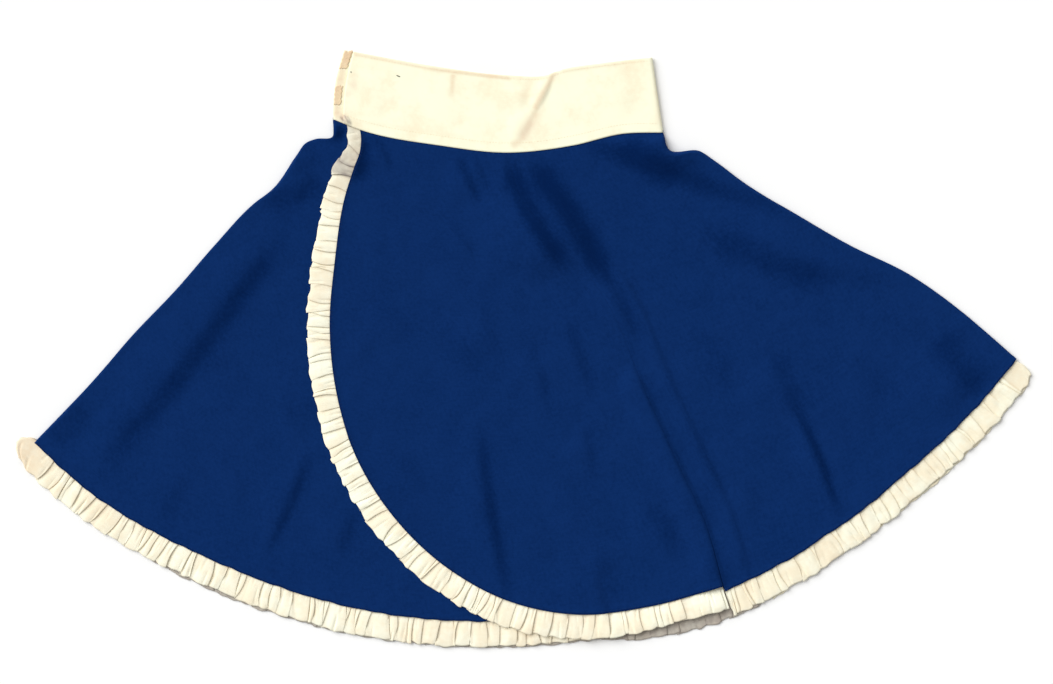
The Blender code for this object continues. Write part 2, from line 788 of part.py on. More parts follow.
def make_back_ruffle():
    """The strip on the back gore's hem, which rests flat."""
    back = back_panel()

    def hem(t):
        return back(t, 1.0)

    sections = pleated(hem, from_centre(hem), PLEATS["back"], HEM_RUFFLE_WIDTHS, seed=2)
    close_solid("ruffle_back", [lying_section(*section) for section in sections], CREAM_RUFFLE)


def main():
    """Cut and lay out the whole skirt."""
    clear_scene()
    make_gores()
    make_waistband()
    make_tape_tabs()
    make_over_ruffle()
    right_pleats = (PLEATS["right_top"], PLEATS["right_back"])
    left_pleats = (PLEATS["left_top"], PLEATS["left_back"])
    make_folded_ruffle("ruffle_right", right_panels(), RIGHT_SIDE, right_pleats, seed=3)
    make_folded_ruffle("ruffle_left", left_panels(), LEFT_SIDE, left_pleats, seed=5)
    make_back_ruffle()


main()
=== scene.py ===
# %% [markdown]
# # A wrap-over circle skirt, laid out flat
#
# The real skirt is four flat gores of deep blue cotton, a tall cream band and a narrow cream
# ruffle, put down on a table and seen from straight above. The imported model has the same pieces
# as plain walls. This lesson puts a finer cloth shell in the place of each wall, with the folds,
# tucks, stitches and stains that show from a step away, and keeps every size of the model.

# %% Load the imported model
import random
from collections import namedtuple

import bpy
import numpy as np
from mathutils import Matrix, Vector


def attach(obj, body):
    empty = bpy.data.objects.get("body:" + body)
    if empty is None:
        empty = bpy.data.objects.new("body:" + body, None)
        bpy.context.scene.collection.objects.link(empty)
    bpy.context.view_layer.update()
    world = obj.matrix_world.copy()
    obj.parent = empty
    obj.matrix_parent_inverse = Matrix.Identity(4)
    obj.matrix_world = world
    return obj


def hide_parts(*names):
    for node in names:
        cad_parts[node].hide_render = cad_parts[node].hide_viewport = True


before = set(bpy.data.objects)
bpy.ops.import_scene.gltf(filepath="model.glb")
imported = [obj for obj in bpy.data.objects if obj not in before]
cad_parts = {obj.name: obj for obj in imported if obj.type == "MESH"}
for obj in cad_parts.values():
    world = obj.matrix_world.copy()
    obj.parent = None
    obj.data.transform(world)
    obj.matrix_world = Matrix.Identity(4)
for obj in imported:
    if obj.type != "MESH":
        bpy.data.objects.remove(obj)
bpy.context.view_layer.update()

print("nodes:", sorted(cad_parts))

# %% [markdown]
# ## Look straight down, as the photograph does
#
# A flat garment is easiest to judge from above. The camera hangs three metres up with a long lens,
# so that its view is as wide as the photograph's at the height of the cloth, and the straight edges
# stay straight. The photograph is a cut-out on white, so the floor is a plain pale plane.

# %% Camera
VIEW_MIDDLE = (-0.0021, 0.0071)
VIEW_WIDTH = 1.053
CAMERA_HEIGHT = 3.0
SENSOR_WIDTH = 36.0

eye = bpy.data.cameras.new("eye")
eye.sensor_width = SENSOR_WIDTH
eye.lens = SENSOR_WIDTH * CAMERA_HEIGHT / VIEW_WIDTH
camera = bpy.data.objects.new("eye", eye)
camera.location = (*VIEW_MIDDLE, CAMERA_HEIGHT)
bpy.context.scene.collection.objects.link(camera)
bpy.context.scene.camera = camera
print("lens in mm:", round(eye.lens, 1))

# %% [markdown]
# ## Numbers in rows: small helpers for curves and sheets
#
# A sheet of cloth is a grid of points. Numpy works on all of them at once, so a helper takes a whole
# grid of values and gives a whole grid back. A curve here is a function: it takes values from 0 to 1
# and gives places on the table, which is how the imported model's outlines were drawn too.

# %% Easing, mixing and curves
MIDDLE_OF_SKIRT = np.array((0.0051, -0.0011))
DIRECTION_REACH = 0.004


def smooth(t):
    """Ease from 0 to 1 with level ends."""
    t = np.clip(t, 0.0, 1.0)
    return t * t * (3.0 - 2.0 * t)


def mix(a, b, t):
    """The values a part t of the way from a to b."""
    return a + (b - a) * t


def wide(t):
    """Give values one more axis, so that they can multiply places."""
    return np.asarray(t, float)[..., None]


def length_of(run):
    """Lengths of a grid of vectors."""
    return np.sqrt((run * run).sum(axis=-1))


def smooth_curve(places):
    """A function of 0 to 1 that runs through the places at an even pace."""
    knots = np.array(places, float) - MIDDLE_OF_SKIRT
    steps = length_of(np.diff(knots, axis=0))
    slopes = np.diff(knots, axis=0) / wide(steps)
    tangents = np.concatenate((slopes[:1], slopes))
    before, after = wide(steps[:-1]), wide(steps[1:])
    tangents[1:-1] = (slopes[:-1] * after + slopes[1:] * before) / (before + after)
    marks = np.concatenate(([0.0], np.cumsum(steps)))

    def at(t):
        run = np.clip(t, 0.0, 1.0) * marks[-1]
        i = np.clip(np.searchsorted(marks, run, side="right") - 1, 0, len(steps) - 1)
        s = wide((run - marks[i]) / steps[i])
        step = wide(steps[i])
        return (
            knots[i] * (1 + 2 * s) * (1 - s) ** 2
            + knots[i + 1] * s * s * (3 - 2 * s)
            + tangents[i] * (step * s * (1 - s) ** 2)
            - tangents[i + 1] * (step * s * s * (1 - s))
        )

    return at


def part_of(curve, start, end):
    """The stretch of a curve between two of its values."""
    return lambda t: curve(mix(start, end, np.asarray(t, float)))


def side_of(curve, t):
    """Unit vectors to the left of a curve's run."""
    t = np.asarray(t, float)
    ahead = curve(np.minimum(t + DIRECTION_REACH, 1.0)) - curve(np.maximum(t - DIRECTION_REACH, 0.0))
    left = np.stack((-ahead[..., 1], ahead[..., 0]), axis=-1)
    return left / wide(length_of(left))


def beside(curve, distance):
    """A curve moved sideways, to the left of its run where the distance is positive."""
    return lambda t: curve(t) + side_of(curve, t) * distance


def curve_length(curve, count=400):
    """Length of a curve, measured along short steps."""
    return float(length_of(np.diff(curve(np.linspace(0.0, 1.0, count)), axis=0)).sum())


def read_between(rows, key):
    """Read the second column of a table at some keys, easing from row to row."""
    rows = np.array(sorted(rows), float)
    key = np.asarray(key, float)
    i = np.clip(np.searchsorted(rows[:, 0], key) - 1, 0, len(rows) - 2)
    part = (key - rows[i, 0]) / (rows[i + 1, 0] - rows[i, 0])
    return mix(rows[i, 1], rows[i + 1, 1], smooth(part))


def patch(top, bottom, left, right):
    """Fill a four-sided outline; u runs from left to right and v from top to bottom."""

    def ends_at(curve, start, end):
        """The curve, eased so that it starts and ends exactly at two points."""
        first_miss, last_miss = start - curve(0.0), end - curve(1.0)
        return lambda t: curve(t) + first_miss * wide(1.0 - t) ** 3 + last_miss * wide(t) ** 3

    top = ends_at(top, left(0.0), right(0.0))
    bottom = ends_at(bottom, left(1.0), right(1.0))

    def at(u, v):
        across = mix(top(u), bottom(u), wide(v))
        down = mix(left(v), right(v), wide(u))
        ends = mix(mix(left(0.0), right(0.0), wide(u)), mix(left(1.0), right(1.0), wide(u)), wide(v))
        return across + down - ends

    return at


# %% [markdown]
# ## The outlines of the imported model
#
# The gores are parts of one flat ring, so their hems are given by an angle and a radius round the
# ring's centre, and the other edges by a few places that a smooth curve joins. These short tables are
# the model's own, because the finer shells have to end where its walls end. The rounded edge has a
# few more places where it starts at the band, because there the cloth twists a little.

# %% Outlines
Place = namedtuple("Place", "x y")
Rim = namedtuple("Rim", "angle radius")
CUT_CENTRE_ON_TABLE = np.array((-0.0360, 0.3845))
CUT_CENTRE = CUT_CENTRE_ON_TABLE - MIDDLE_OF_SKIRT
SEAM_GAP = 0.0003
SEWN_GAP = 0.00004


def around(angle):
    """Unit vectors out of the ring's centre; the angle in degrees turns down from +x."""
    turn = np.radians(np.asarray(angle, float))
    return np.stack((np.cos(turn), -np.sin(turn)), axis=-1)


def rim_place(angle, radius):
    """Place on a circle round the ring's centre."""
    return CUT_CENTRE_ON_TABLE + around(angle) * radius


OVER_HEM_END = Rim(69.3, 0.6655)
RIGHT_HEM = (
    Rim(69.3, 0.6712),
    Rim(67.2, 0.6695),
    Rim(64.0, 0.668),
    Rim(58.0, 0.6635),
    Rim(50.0, 0.659),
    Rim(36.8, 0.660),
)
BACK_HEM = (Rim(36.8, 0.660), Rim(58.0, 0.661), Rim(68.0, 0.671), Rim(84.0, 0.658), Rim(133.4, 0.6590))
UNDER_HEM = (Rim(80.0, 0.657), Rim(98.0, 0.658), Rim(114.0, 0.6565), Rim(127.0, 0.661), Rim(133.4, 0.6590))
FRONT_SEAM_ANGLE = 69.3
RIGHT_FOLD_ANGLE = 36.8
RIGHT_BACK_SEAM_ANGLE = 65.8
LEFT_BACK_SEAM_ANGLE = 125.8
LEFT_FOLD_ANGLE = 133.4
HIDDEN_EDGE_ANGLE = 80.0

WAIST_SEAM = (
    Place(-0.1900, 0.2285),
    Place(-0.1635, 0.2180),
    Place(-0.0825, 0.2020),
    Place(-0.0165, 0.1950),
    Place(0.0485, 0.2020),
    Place(0.1005, 0.2140),
    Place(0.1395, 0.2150),
)
BAND_TOP = (
    Place(-0.1790, 0.2975),
    Place(-0.0935, 0.2820),
    Place(-0.0135, 0.2720),
    Place(0.0215, 0.2720),
    Place(0.0385, 0.2780),
    Place(0.0765, 0.2840),
    Place(0.1285, 0.2900),
)
OVER_EDGE = (
    Place(-0.1658, 0.2290),
    Place(-0.1622, 0.2105),
    Place(-0.1632, 0.1960),
    Place(-0.1690, 0.1800),
    Place(-0.1775, 0.1540),
    Place(-0.1885, 0.0860),
    Place(-0.1935, 0.0220),
    Place(-0.1865, -0.0460),
    Place(-0.1665, -0.1100),
    Place(-0.1285, -0.1700),
    Place(-0.0755, -0.2200),
    Place(-0.0105, -0.2540),
    Place(0.0555, -0.2660),
    Place(0.1265, -0.2580),
    rim_place(*OVER_HEM_END),
)
FRONT_SEAM = (
    Place(-0.0165, 0.1950),
    Place(0.0015, 0.1430),
    Place(0.0285, 0.1150),
    Place(0.0815, 0.0490),
    Place(0.1225, -0.0450),
    Place(0.1595, -0.1260),
    Place(0.1785, -0.1660),
    rim_place(*OVER_HEM_END),
)
FRONT_SEAM_ON_RIGHT = (*FRONT_SEAM[:-1], rim_place(*RIGHT_HEM[0]))
RIGHT_FOLD = (
    Place(0.1395, 0.2145),
    Place(0.1445, 0.1990),
    Place(0.1765, 0.1965),
    Place(0.1895, 0.1880),
    Place(0.2235, 0.1630),
    Place(0.2735, 0.1330),
    Place(0.3255, 0.1030),
    Place(0.3865, 0.0730),
    Place(0.4295, 0.0430),
    Place(0.4655, 0.0130),
    rim_place(*RIGHT_HEM[-1]),
)
LEFT_FOLD = (
    Place(-0.1905, 0.2275),
    Place(-0.1910, 0.2110),
    Place(-0.2075, 0.2090),
    Place(-0.2175, 0.2050),
    Place(-0.2265, 0.1930),
    Place(-0.2495, 0.1600),
    Place(-0.2705, 0.1435),
    Place(-0.3085, 0.1030),
    Place(-0.3475, 0.0580),
    Place(-0.3905, 0.0130),
    Place(-0.4295, -0.0320),
    rim_place(*UNDER_HEM[-1]),
)
OVER_START_ON_BAND = 0.0750
FRONT_SEAM_ON_BAND = 0.5240
OVER_EDGE_TURN = 0.42
RIGHT_BACK_SEAM_ON_BAND = 0.880
LEFT_BACK_SEAM_ON_BAND = 0.255
HIDDEN_EDGE_ON_BAND = 0.390
BACK_SEAM_BOW = 0.006

WAIST = smooth_curve(WAIST_SEAM)
BAND_UPPER = smooth_curve(BAND_TOP)
OVER_EDGE_LINE = smooth_curve(OVER_EDGE)
FRONT_SEAM_LINE = smooth_curve(FRONT_SEAM)
RIGHT_SEAM_LINE = smooth_curve(FRONT_SEAM_ON_RIGHT)
RIGHT_FOLD_LINE = smooth_curve(RIGHT_FOLD)
LEFT_FOLD_LINE = smooth_curve(LEFT_FOLD)


HEM_PULL = 0.00022
HEM_PULLS = ((1.55, 0.0), (2.70, 1.0), (4.10, 0.0))


def hem_curve(hem, start_angle, end_angle):
    """The hem between two angles, pulled in and out a little by its gathers."""

    def at(t):
        angle = mix(start_angle, end_angle, np.asarray(t, float))
        pulled = sum(np.sin(angle * pace + start) for pace, start in HEM_PULLS)
        return CUT_CENTRE + around(angle) * wide(read_between(hem, angle) + HEM_PULL * pulled)

    return at


def seam_line(on_band, hem, angle, bow):
    """A seam or edge from the band to the hem, bowed a little as the gores are."""
    top = WAIST(on_band) + MIDDLE_OF_SKIRT
    bottom = hem_curve(hem, angle, angle)(0.0) + MIDDLE_OF_SKIRT
    return smooth_curve((top, (top + bottom) / 2 + np.array((bow, 0.0)), bottom))


RIGHT_BACK_SEAM = seam_line(RIGHT_BACK_SEAM_ON_BAND, BACK_HEM, RIGHT_BACK_SEAM_ANGLE, BACK_SEAM_BOW)
LEFT_BACK_SEAM = seam_line(LEFT_BACK_SEAM_ON_BAND, BACK_HEM, LEFT_BACK_SEAM_ANGLE, -BACK_SEAM_BOW)
HIDDEN_EDGE = seam_line(HIDDEN_EDGE_ON_BAND, UNDER_HEM, HIDDEN_EDGE_ANGLE, 0.0)
print("free edge and hem of the over gore:", round(curve_length(OVER_EDGE_LINE), 3), "m")

# %% [markdown]
# ## How high each layer lies, and its soft folds
#
# Cloth that is laid out by hand never lies quite flat. Low ridges run down from the band and in from
# the hem, and each shows as a dark band on the side that faces away from the light. A cloth simulation
# would make folds of its own choosing, so they are given in a table instead: a row of the table holds
# the middle line of one dark band, and the height rises slowly on its lit side and falls across it.
# The same rows also give a mask of each dark band, which the finish later uses to paint shade into the blue.

# %% Folds given in a table
Crease = namedtuple("Crease", "x1 y1 x2 y2 bow width height")
AWAY_FROM_LIGHT = np.array((0.80, -0.60))
LIT_SIDE = 2.6
SHELF = 0.5
LENS = 0.35
CRISP = 0.40
HIGHER = 0.85
FADE_AT_ENDS = 0.50
# DARK_FADE, DARKEST_HEIGHT, DARK_WIDTHS and DARK_POWER shape the shade painted into the folds' dark bands.
DARK_FADE = 0.24
DARKEST_HEIGHT = 0.0060
DARK_WIDTHS = (0.35, 0.60)
DARK_POWER = 2.4
RUN_ON = 0.06
CREASE_STEPS = 8

UNDER_CREASES = (
    Crease(-0.2355, 0.1190, -0.4215, -0.1240, 0.004, 0.022, 0.0035),
    Crease(-0.2535, 0.0860, -0.2915, 0.0420, 0.000, 0.016, 0.0012),
    Crease(-0.2105, -0.1000, -0.2585, -0.2120, 0.002, 0.010, 0.0024),
    Crease(-0.1665, -0.1640, -0.1845, -0.2080, 0.000, 0.013, 0.0018),
    Crease(-0.2615, 0.1420, -0.1985, 0.1690, -0.003, 0.022, 0.0030),
    Crease(-0.4335, -0.0600, -0.4715, -0.0980, 0.000, 0.024, 0.0018),
    Crease(-0.1935, -0.0350, -0.2395, -0.0680, 0.003, 0.026, 0.0010),
    Crease(-0.3335, -0.1300, -0.3635, -0.1760, 0.000, 0.016, 0.0010),
    Crease(-0.2715, -0.1220, -0.2875, -0.1640, 0.000, 0.012, 0.0008),
    Crease(-0.1985, 0.2160, -0.1780, 0.2120, 0.000, 0.014, 0.0050),
    Crease(-0.2055, 0.1960, -0.2275, 0.1700, 0.000, 0.016, 0.0014),
    Crease(-0.3955, 0.0180, -0.4275, -0.0240, 0.000, 0.020, 0.0009),
)
FRONT_CREASES = (
    Crease(-0.0160, 0.1945, 0.0520, 0.0770, -0.010, 0.0180, 0.0058),
    Crease(0.0165, 0.1120, 0.0425, 0.0800, -0.003, 0.012, 0.0016),
    Crease(0.0025, 0.1880, 0.0825, 0.0640, 0.008, 0.0235, 0.0068),
    Crease(0.0705, 0.0960, 0.1185, 0.0040, 0.002, 0.012, 0.0026),
    Crease(0.0940, 0.2060, 0.1560, 0.1640, 0.000, 0.025, 0.0052),
    Crease(0.0560, 0.2060, 0.2005, 0.1540, 0.003, 0.019, 0.0036),
    Crease(0.1645, 0.1650, 0.2685, 0.1380, 0.000, 0.016, 0.0020),
    Crease(0.1745, 0.1180, 0.3105, 0.0660, -0.004, 0.025, 0.0034),
    Crease(0.2765, 0.0800, 0.3685, 0.0600, 0.000, 0.020, 0.0014),
    Crease(0.2705, -0.0560, 0.3155, -0.1660, 0.003, 0.0085, 0.0042),
    Crease(0.2515, -0.0020, 0.2795, -0.0740, 0.000, 0.020, 0.0024),
    Crease(-0.0425, -0.0740, -0.0125, -0.2540, -0.004, 0.012, 0.0032),
    Crease(-0.1575, 0.2120, -0.1640, 0.1640, 0.000, 0.015, 0.0044),
    Crease(-0.1515, 0.2120, -0.1315, 0.1760, 0.004, 0.008, 0.0018),
    Crease(-0.0665, 0.1920, -0.0415, 0.1430, 0.000, 0.009, 0.0024),
    Crease(-0.0505, 0.1940, -0.0335, 0.1560, 0.000, 0.006, 0.0012),
    Crease(-0.0755, 0.1300, -0.0455, 0.0900, 0.000, 0.008, 0.0010),
    Crease(0.0425, 0.0340, 0.0705, -0.0460, 0.000, 0.014, 0.0020),
    Crease(0.0055, 0.0080, 0.0245, -0.0520, 0.000, 0.011, 0.0012),
    Crease(0.0625, -0.0770, 0.0725, -0.1320, 0.000, 0.009, 0.0013),
    Crease(0.1265, -0.1520, 0.1585, -0.2120, 0.000, 0.020, 0.0016),
    Crease(0.4145, 0.0160, 0.4615, -0.0440, -0.003, 0.030, 0.0030),
    Crease(0.4225, -0.0100, 0.4585, -0.0420, 0.000, 0.010, 0.0010),
    Crease(0.0765, -0.1980, 0.0965, -0.2520, 0.000, 0.020, 0.0013),
    Crease(0.1840, -0.2030, 0.2060, -0.2400, 0.000, 0.018, 0.0016),
    Crease(0.0195, -0.0180, 0.0255, -0.0720, 0.000, 0.008, 0.0008),
    Crease(-0.1485, 0.0480, -0.1115, 0.0040, 0.005, 0.020, 0.0009),
    Crease(-0.0935, 0.0180, -0.0315, -0.0240, 0.000, 0.022, 0.0010),
    Crease(-0.1235, -0.1040, -0.0935, -0.1440, 0.000, 0.016, 0.0010),
    Crease(0.1445, 0.1880, 0.1765, 0.1820, 0.000, 0.010, 0.0014),
    Crease(0.3345, -0.0040, 0.3565, -0.0820, 0.004, 0.024, 0.0010),
    Crease(0.1765, 0.0180, 0.2115, -0.0520, 0.000, 0.022, 0.0009),
    Crease(-0.0435, 0.0480, -0.0235, -0.0080, 0.000, 0.014, 0.0009),
    Crease(0.2245, -0.1220, 0.2365, -0.1820, 0.000, 0.012, 0.0010),
)


def along_line(places, points):
    """Distance of each place from a broken line, how far along it, and on which side."""
    nearest = np.full(places.shape[:-1], np.inf)
    along = np.zeros_like(nearest)
    side = np.zeros_like(nearest)
    for i, (start, end) in enumerate(zip(points, points[1:])):
        run = end - start
        reach = places - start
        part = np.clip((reach @ run) / (run @ run), 0.0, 1.0)
        distance = length_of(reach - wide(part) * run)
        turned = run[0] * reach[..., 1] - run[1] * reach[..., 0]
        closer = distance < nearest
        nearest = np.where(closer, distance, nearest)
        along = np.where(closer, (i + part) / (len(points) - 1), along)
        side = np.where(closer, np.sign(turned), side)
    return nearest, along, side


def crease_line(crease):
    """The middle of a crease's dark band, slightly bowed."""
    start = np.array((crease.x1, crease.y1)) - MIDDLE_OF_SKIRT
    end = np.array((crease.x2, crease.y2)) - MIDDLE_OF_SKIRT
    t = wide(np.linspace(-RUN_ON, 1.0 + RUN_ON, CREASE_STEPS + 1))
    run = (end - start) / length_of(end - start)
    sideways = np.array((-run[1], run[0]))
    return mix(start, end, t) + sideways * (4.0 * t * (1.0 - t) * crease.bow)


def ridge_along(places, points, width, height, fade_at_ends=FADE_AT_ENDS):
    """Height of one ridge: a slow rise on its lit side and a fall across its dark band."""
    distance, along, side = along_line(places, points)
    run = points[-1] - points[0]
    if run[1] * AWAY_FROM_LIGHT[0] - run[0] * AWAY_FROM_LIGHT[1] > 0.0:
        side = -side
    fade = smooth(np.minimum(along, 1.0 - along) / fade_at_ends)
    lens = mix(LENS, 1.0, fade)
    across = side * distance / width + 0.5
    fall = 1.0 - mix(smooth(across / lens), np.clip(across / lens, 0.0, 1.0), CRISP)
    rise = smooth(1.0 + (across + SHELF * lens) / (LIT_SIDE * lens))
    return height * np.where(across > 0.0, fall, rise) * fade


def folds(places, table):
    """Height that a table's creases add."""
    return sum(ridge_along(places, crease_line(row), row.width, row.height * HIGHER) for row in table)


def fold_shade_mask(places, table):
    """How far into the dark band of a fold each place lies, from 0 to 1: the mask of the shade painted into
    the blue.
    """
    clear = 1.0
    for row in table:
        distance, along, _ = along_line(places, crease_line(row))
        fade = smooth(np.minimum(along, 1.0 - along) / DARK_FADE)
        across = distance / (row.width * mix(*DARK_WIDTHS, fade))
        strength = min(row.height / DARKEST_HEIGHT, 1.0)
        clear = clear * (1.0 - strength * fade * np.exp(-(across ** DARK_POWER)))
    return 1.0 - clear


# %% [markdown]
# A cotton cloth also has faint unevenness all over, from handling and washing. A few long sine waves
# that cross each other give that, with seeded directions, so that each run makes the same cloth.

# %% Faint unevenness
RUMPLE_WAVES = 14
RUMPLE_LENGTHS = (0.014, 0.070)
rumple_draw = random.Random(11)
rumple = []
for _ in range(RUMPLE_WAVES):
    heading = rumple_draw.uniform(0.0, np.pi)
    period = rumple_draw.uniform(*RUMPLE_LENGTHS)
    rumple.append((np.array((np.cos(heading), np.sin(heading))), period, rumple_draw.uniform(0.0, 6.28)))


def unevenness(places, height):
    """Faint waves in a cloth, about as high as stated; longer waves are higher."""
    total = 0.0
    for heading, period, phase in rumple:
        bend = 0.9 * np.sin(places[..., 0] * 31.0 + phase) + 0.7 * np.cos(places[..., 1] * 27.0 - phase)
        total = total + period * np.sin((places @ heading) * 2.0 * np.pi / period + phase + bend)
    return height * total / (RUMPLE_LENGTHS[1] * np.sqrt(RUMPLE_WAVES))


# %% Heights of the layers
BACK_HEIGHT = 0.0006
BAND_HEIGHTS = (0.0008, 0.0032, 0.0056)
TUCKED_HEIGHTS = (0.00165, 0.00235, 0.00470)
UNDER_ON_BACK = 0.0030
UNDER_AT_HEM = 0.0036
FRONT_ON_BACK = 0.0036
FRONT_AT_HEM = 0.0046
FRONT_ON_UNDER = 0.0020
FRONT_ON_UNDER_HEM = 0.0071
SETTLE_FROM_BAND = 0.070
FREE_OF_BAND = 0.010
HEM_RISE_FROM = 0.600
HEM_RISE_TO = 0.652
HIDDEN_EDGE_SLOPE = 0.010
HIDDEN_EDGE_SOFT = 0.045
UNDER_CLEAR = 0.0004
FRONT_CLEAR = 0.0003
RUMPLE_HEIGHT = 0.00045


def near_hem(places):
    """0 well inside the hem and 1 at it."""
    return smooth((length_of(places - CUT_CENTRE) - HEM_RISE_FROM) / (HEM_RISE_TO - HEM_RISE_FROM))


def from_band(places):
    """Distance of each place below the waist seam; 0 under the band."""
    distance, _, side = along_line(places, np.array(WAIST_SEAM) - MIDDLE_OF_SKIRT)
    return np.where(side > 0.0, 0.0, distance)


def on_under_gore(places, slope):
    """1 over the under gore, easing to 0 beyond its hidden edge."""
    start = HIDDEN_EDGE(0.0)
    run = HIDDEN_EDGE(1.0) - start
    beyond = (places - start) @ (np.array((-run[1], run[0])) / length_of(run))
    return 1.0 - smooth(beyond / slope)


def settle(places, lying, tucked, table, rumple_height, shift):
    """Bring a layer's height down to the band, and add its folds and its unevenness."""
    distance = from_band(places)
    lying = mix(tucked, lying, smooth(distance / SETTLE_FROM_BAND))
    free = smooth(distance / FREE_OF_BAND)
    uneven = np.abs(unevenness(places + shift, rumple_height))
    return lying + (folds(places, table) + uneven) * free


def under_height(places):
    """Middle of the under gore's upper half."""
    lying = mix(UNDER_ON_BACK, UNDER_AT_HEM, near_hem(places))
    return settle(places, lying, TUCKED_HEIGHTS[1] + UNDER_CLEAR, UNDER_CREASES, RUMPLE_HEIGHT, 0.0)


def front_height(places):
    """Middle of the topmost layer: the over gore and the right gore's upper half."""
    hem = near_hem(places)
    over = on_under_gore(places, mix(HIDDEN_EDGE_SOFT, HIDDEN_EDGE_SLOPE, smooth(hem * 2.0)))
    on_under = mix(under_height(places) + FRONT_ON_UNDER, FRONT_ON_UNDER_HEM, hem)
    on_back = mix(FRONT_ON_BACK, FRONT_AT_HEM, hem)
    lying = mix(on_back, on_under, over)
    return settle(places, lying, TUCKED_HEIGHTS[2] + FRONT_CLEAR, FRONT_CREASES, RUMPLE_HEIGHT, 0.3)


def level(places):
    """Middle of the lowest layer, which rests flat."""
    return np.full(places.shape[:-1], BACK_HEIGHT)


# %% [markdown]
# ## Shader sums as Python sums
#
# A finish is a network of nodes. Writing it node by node hides what it does, so one small class wraps
# a socket and lets `1 - mask * 0.5` add the Math nodes itself. Colours go through Mix nodes, because a
# Math node would turn them grey, and every other node comes from one method.

# %% The socket class


class Signal:
    """A socket in a material, or the bare start of one, that can be used in sums."""

    def __init__(self, tree, socket=None):
        self.tree = tree
        self.socket = socket

    def node(self, kind, settings=None, inputs=None, output=0):
        """Add a node: its settings first, then the values or links of its sockets."""
        made = self.tree.nodes.new(kind)
        for name, value in (settings or {}).items():
            setattr(made, name, value)
        for name, value in (inputs or {}).items():
            if isinstance(value, Signal):
                self.tree.links.new(value.socket, made.inputs[name])
            else:
                made.inputs[name].default_value = value
        return Signal(self.tree, made.outputs[output])

    def maths(self, operation, *values):
        """A Math node on some values."""
        return self.node("ShaderNodeMath", {"operation": operation}, dict(enumerate(values)))

    def __add__(self, other):
        return self.maths("ADD", self, other)

    def __radd__(self, other):
        return self.maths("ADD", other, self)

    def __sub__(self, other):
        return self.maths("SUBTRACT", self, other)

    def __rsub__(self, other):
        return self.maths("SUBTRACT", other, self)

    def __mul__(self, other):
        return self.maths("MULTIPLY", self, other)

    def __rmul__(self, other):
        return self.maths("MULTIPLY", other, self)

    def sine(self):
        """The sine of a value."""
        return self.maths("SINE", self)

    def between(self, low, high):
        """0 below low, 1 above high, eased between them."""
        eased = {"interpolation_type": "SMOOTHSTEP"}
        return self.node("ShaderNodeMapRange", eased, {"Value": self, "From Min": low, "From Max": high})

    def colour(self, low, high):
        """The colour low where this value is 0, and the colour high where it is 1."""
        values = {"Factor": self, 6: low, 7: high}
        return self.node("ShaderNodeMix", {"data_type": "RGBA", "clamp_factor": True}, values, output=2)

    def attribute(self, name, output="Fac"):
        """A value that the mesh carries at each point."""
        return self.node("ShaderNodeAttribute", {"attribute_name": name}, output=output)

    def noise(self, place, scale, detail=2.0):
        """Cloudy values round a half, as large as one over the scale."""
        return self.node("ShaderNodeTexNoise", inputs={"Vector": place, "Scale": scale, "Detail": detail})


# %% [markdown]
# ## The finishes
#
# Both cottons are plain weave, with a thread each half millimetre, so the weave is a bump made from two
# crossed sine waves along the cloth's own directions, which each mesh carries as "along" and "down". In
# a plain view it is too fine to see, but it softens the shine as real cotton does. What does show is
# the mottling of worn dye on the blue, the yellowed patches on the cream, and shade painted into both.
# The meshes say where: the blue ones carry "rubbed" along seams and side folds, and painted shade in
# the dark bands of the folds, along turned edges and along the front seam; the cream ones carry "aged"
# and "blush", and painted shade in the ruffle's tucks, along its seam, at its start, on its lowest
# layer and in the band's crumples.

# %% Colours
THREAD_PITCH = 0.00055
BLUE_DEEP = (0.0006, 0.0125, 0.0720, 1.0)
BLUE_WORN = (0.0037, 0.0270, 0.1300, 1.0)
CREAM_CLEAN = (0.990, 0.985, 0.755, 1.0)
CREAM_WARM = (0.960, 0.875, 0.640, 1.0)
RUFFLE_CLEAN = (0.990, 0.985, 0.810, 1.0)
RUFFLE_WARM = (0.960, 0.880, 0.670, 1.0)
AGED_TAN = (0.790, 0.570, 0.370, 1.0)
# The grey-brown colour of shade painted on the cream cloth.
PAINTED_SHADE_TONE = (0.330, 0.290, 0.265, 1.0)
BLUSH = (0.800, 0.520, 0.400, 1.0)
TAPE_TAN = (0.860, 0.700, 0.460, 1.0)
TAPE_DARK = (0.780, 0.570, 0.370, 1.0)
LOOSE_PALE = (0.10, 0.09, 0.06, 1.0)
LOOSE_DARK = (0.03, 0.03, 0.02, 1.0)
RUBBED_PALER = 0.28
PAINTED_SHADE_DARKER = 0.50


def new_finish(name, roughness, shine):
    """A material with a matt shader; returns the start of its sums and the shader's inputs."""
    made = bpy.data.materials.new(name)
    made.use_nodes = True
    shader = made.node_tree.nodes["Principled BSDF"]
    shader.inputs["Roughness"].default_value = roughness
    shader.inputs["Specular IOR Level"].default_value = shine
    return made, Signal(made.node_tree), shader.inputs


def feed(start, socket, signal):
    """Link a sum to one of the shader's sockets."""
    start.tree.links.new(signal.socket, socket)


def woven(start, strength, distance):
    """The weave as a bump: two crossed sine waves, with slightly thick and thin threads."""
    along = start.attribute("along")
    down = start.attribute("down")
    place = start.node("ShaderNodeCombineXYZ", inputs={"X": along * 60.0, "Y": down * 900.0})
    place_across = start.node("ShaderNodeCombineXYZ", inputs={"X": along * 900.0, "Y": down * 60.0})
    slubs = start.noise(place, 1.0) + start.noise(place_across, 1.0)
    turns = 2.0 * np.pi / THREAD_PITCH
    weave = (along * turns).sine() * (down * turns).sine()
    height = weave * 0.35 + slubs * 0.6
    bump = start.node("ShaderNodeBump", inputs={"Height": height, "Strength": strength, "Distance": distance})
    return bump, slubs


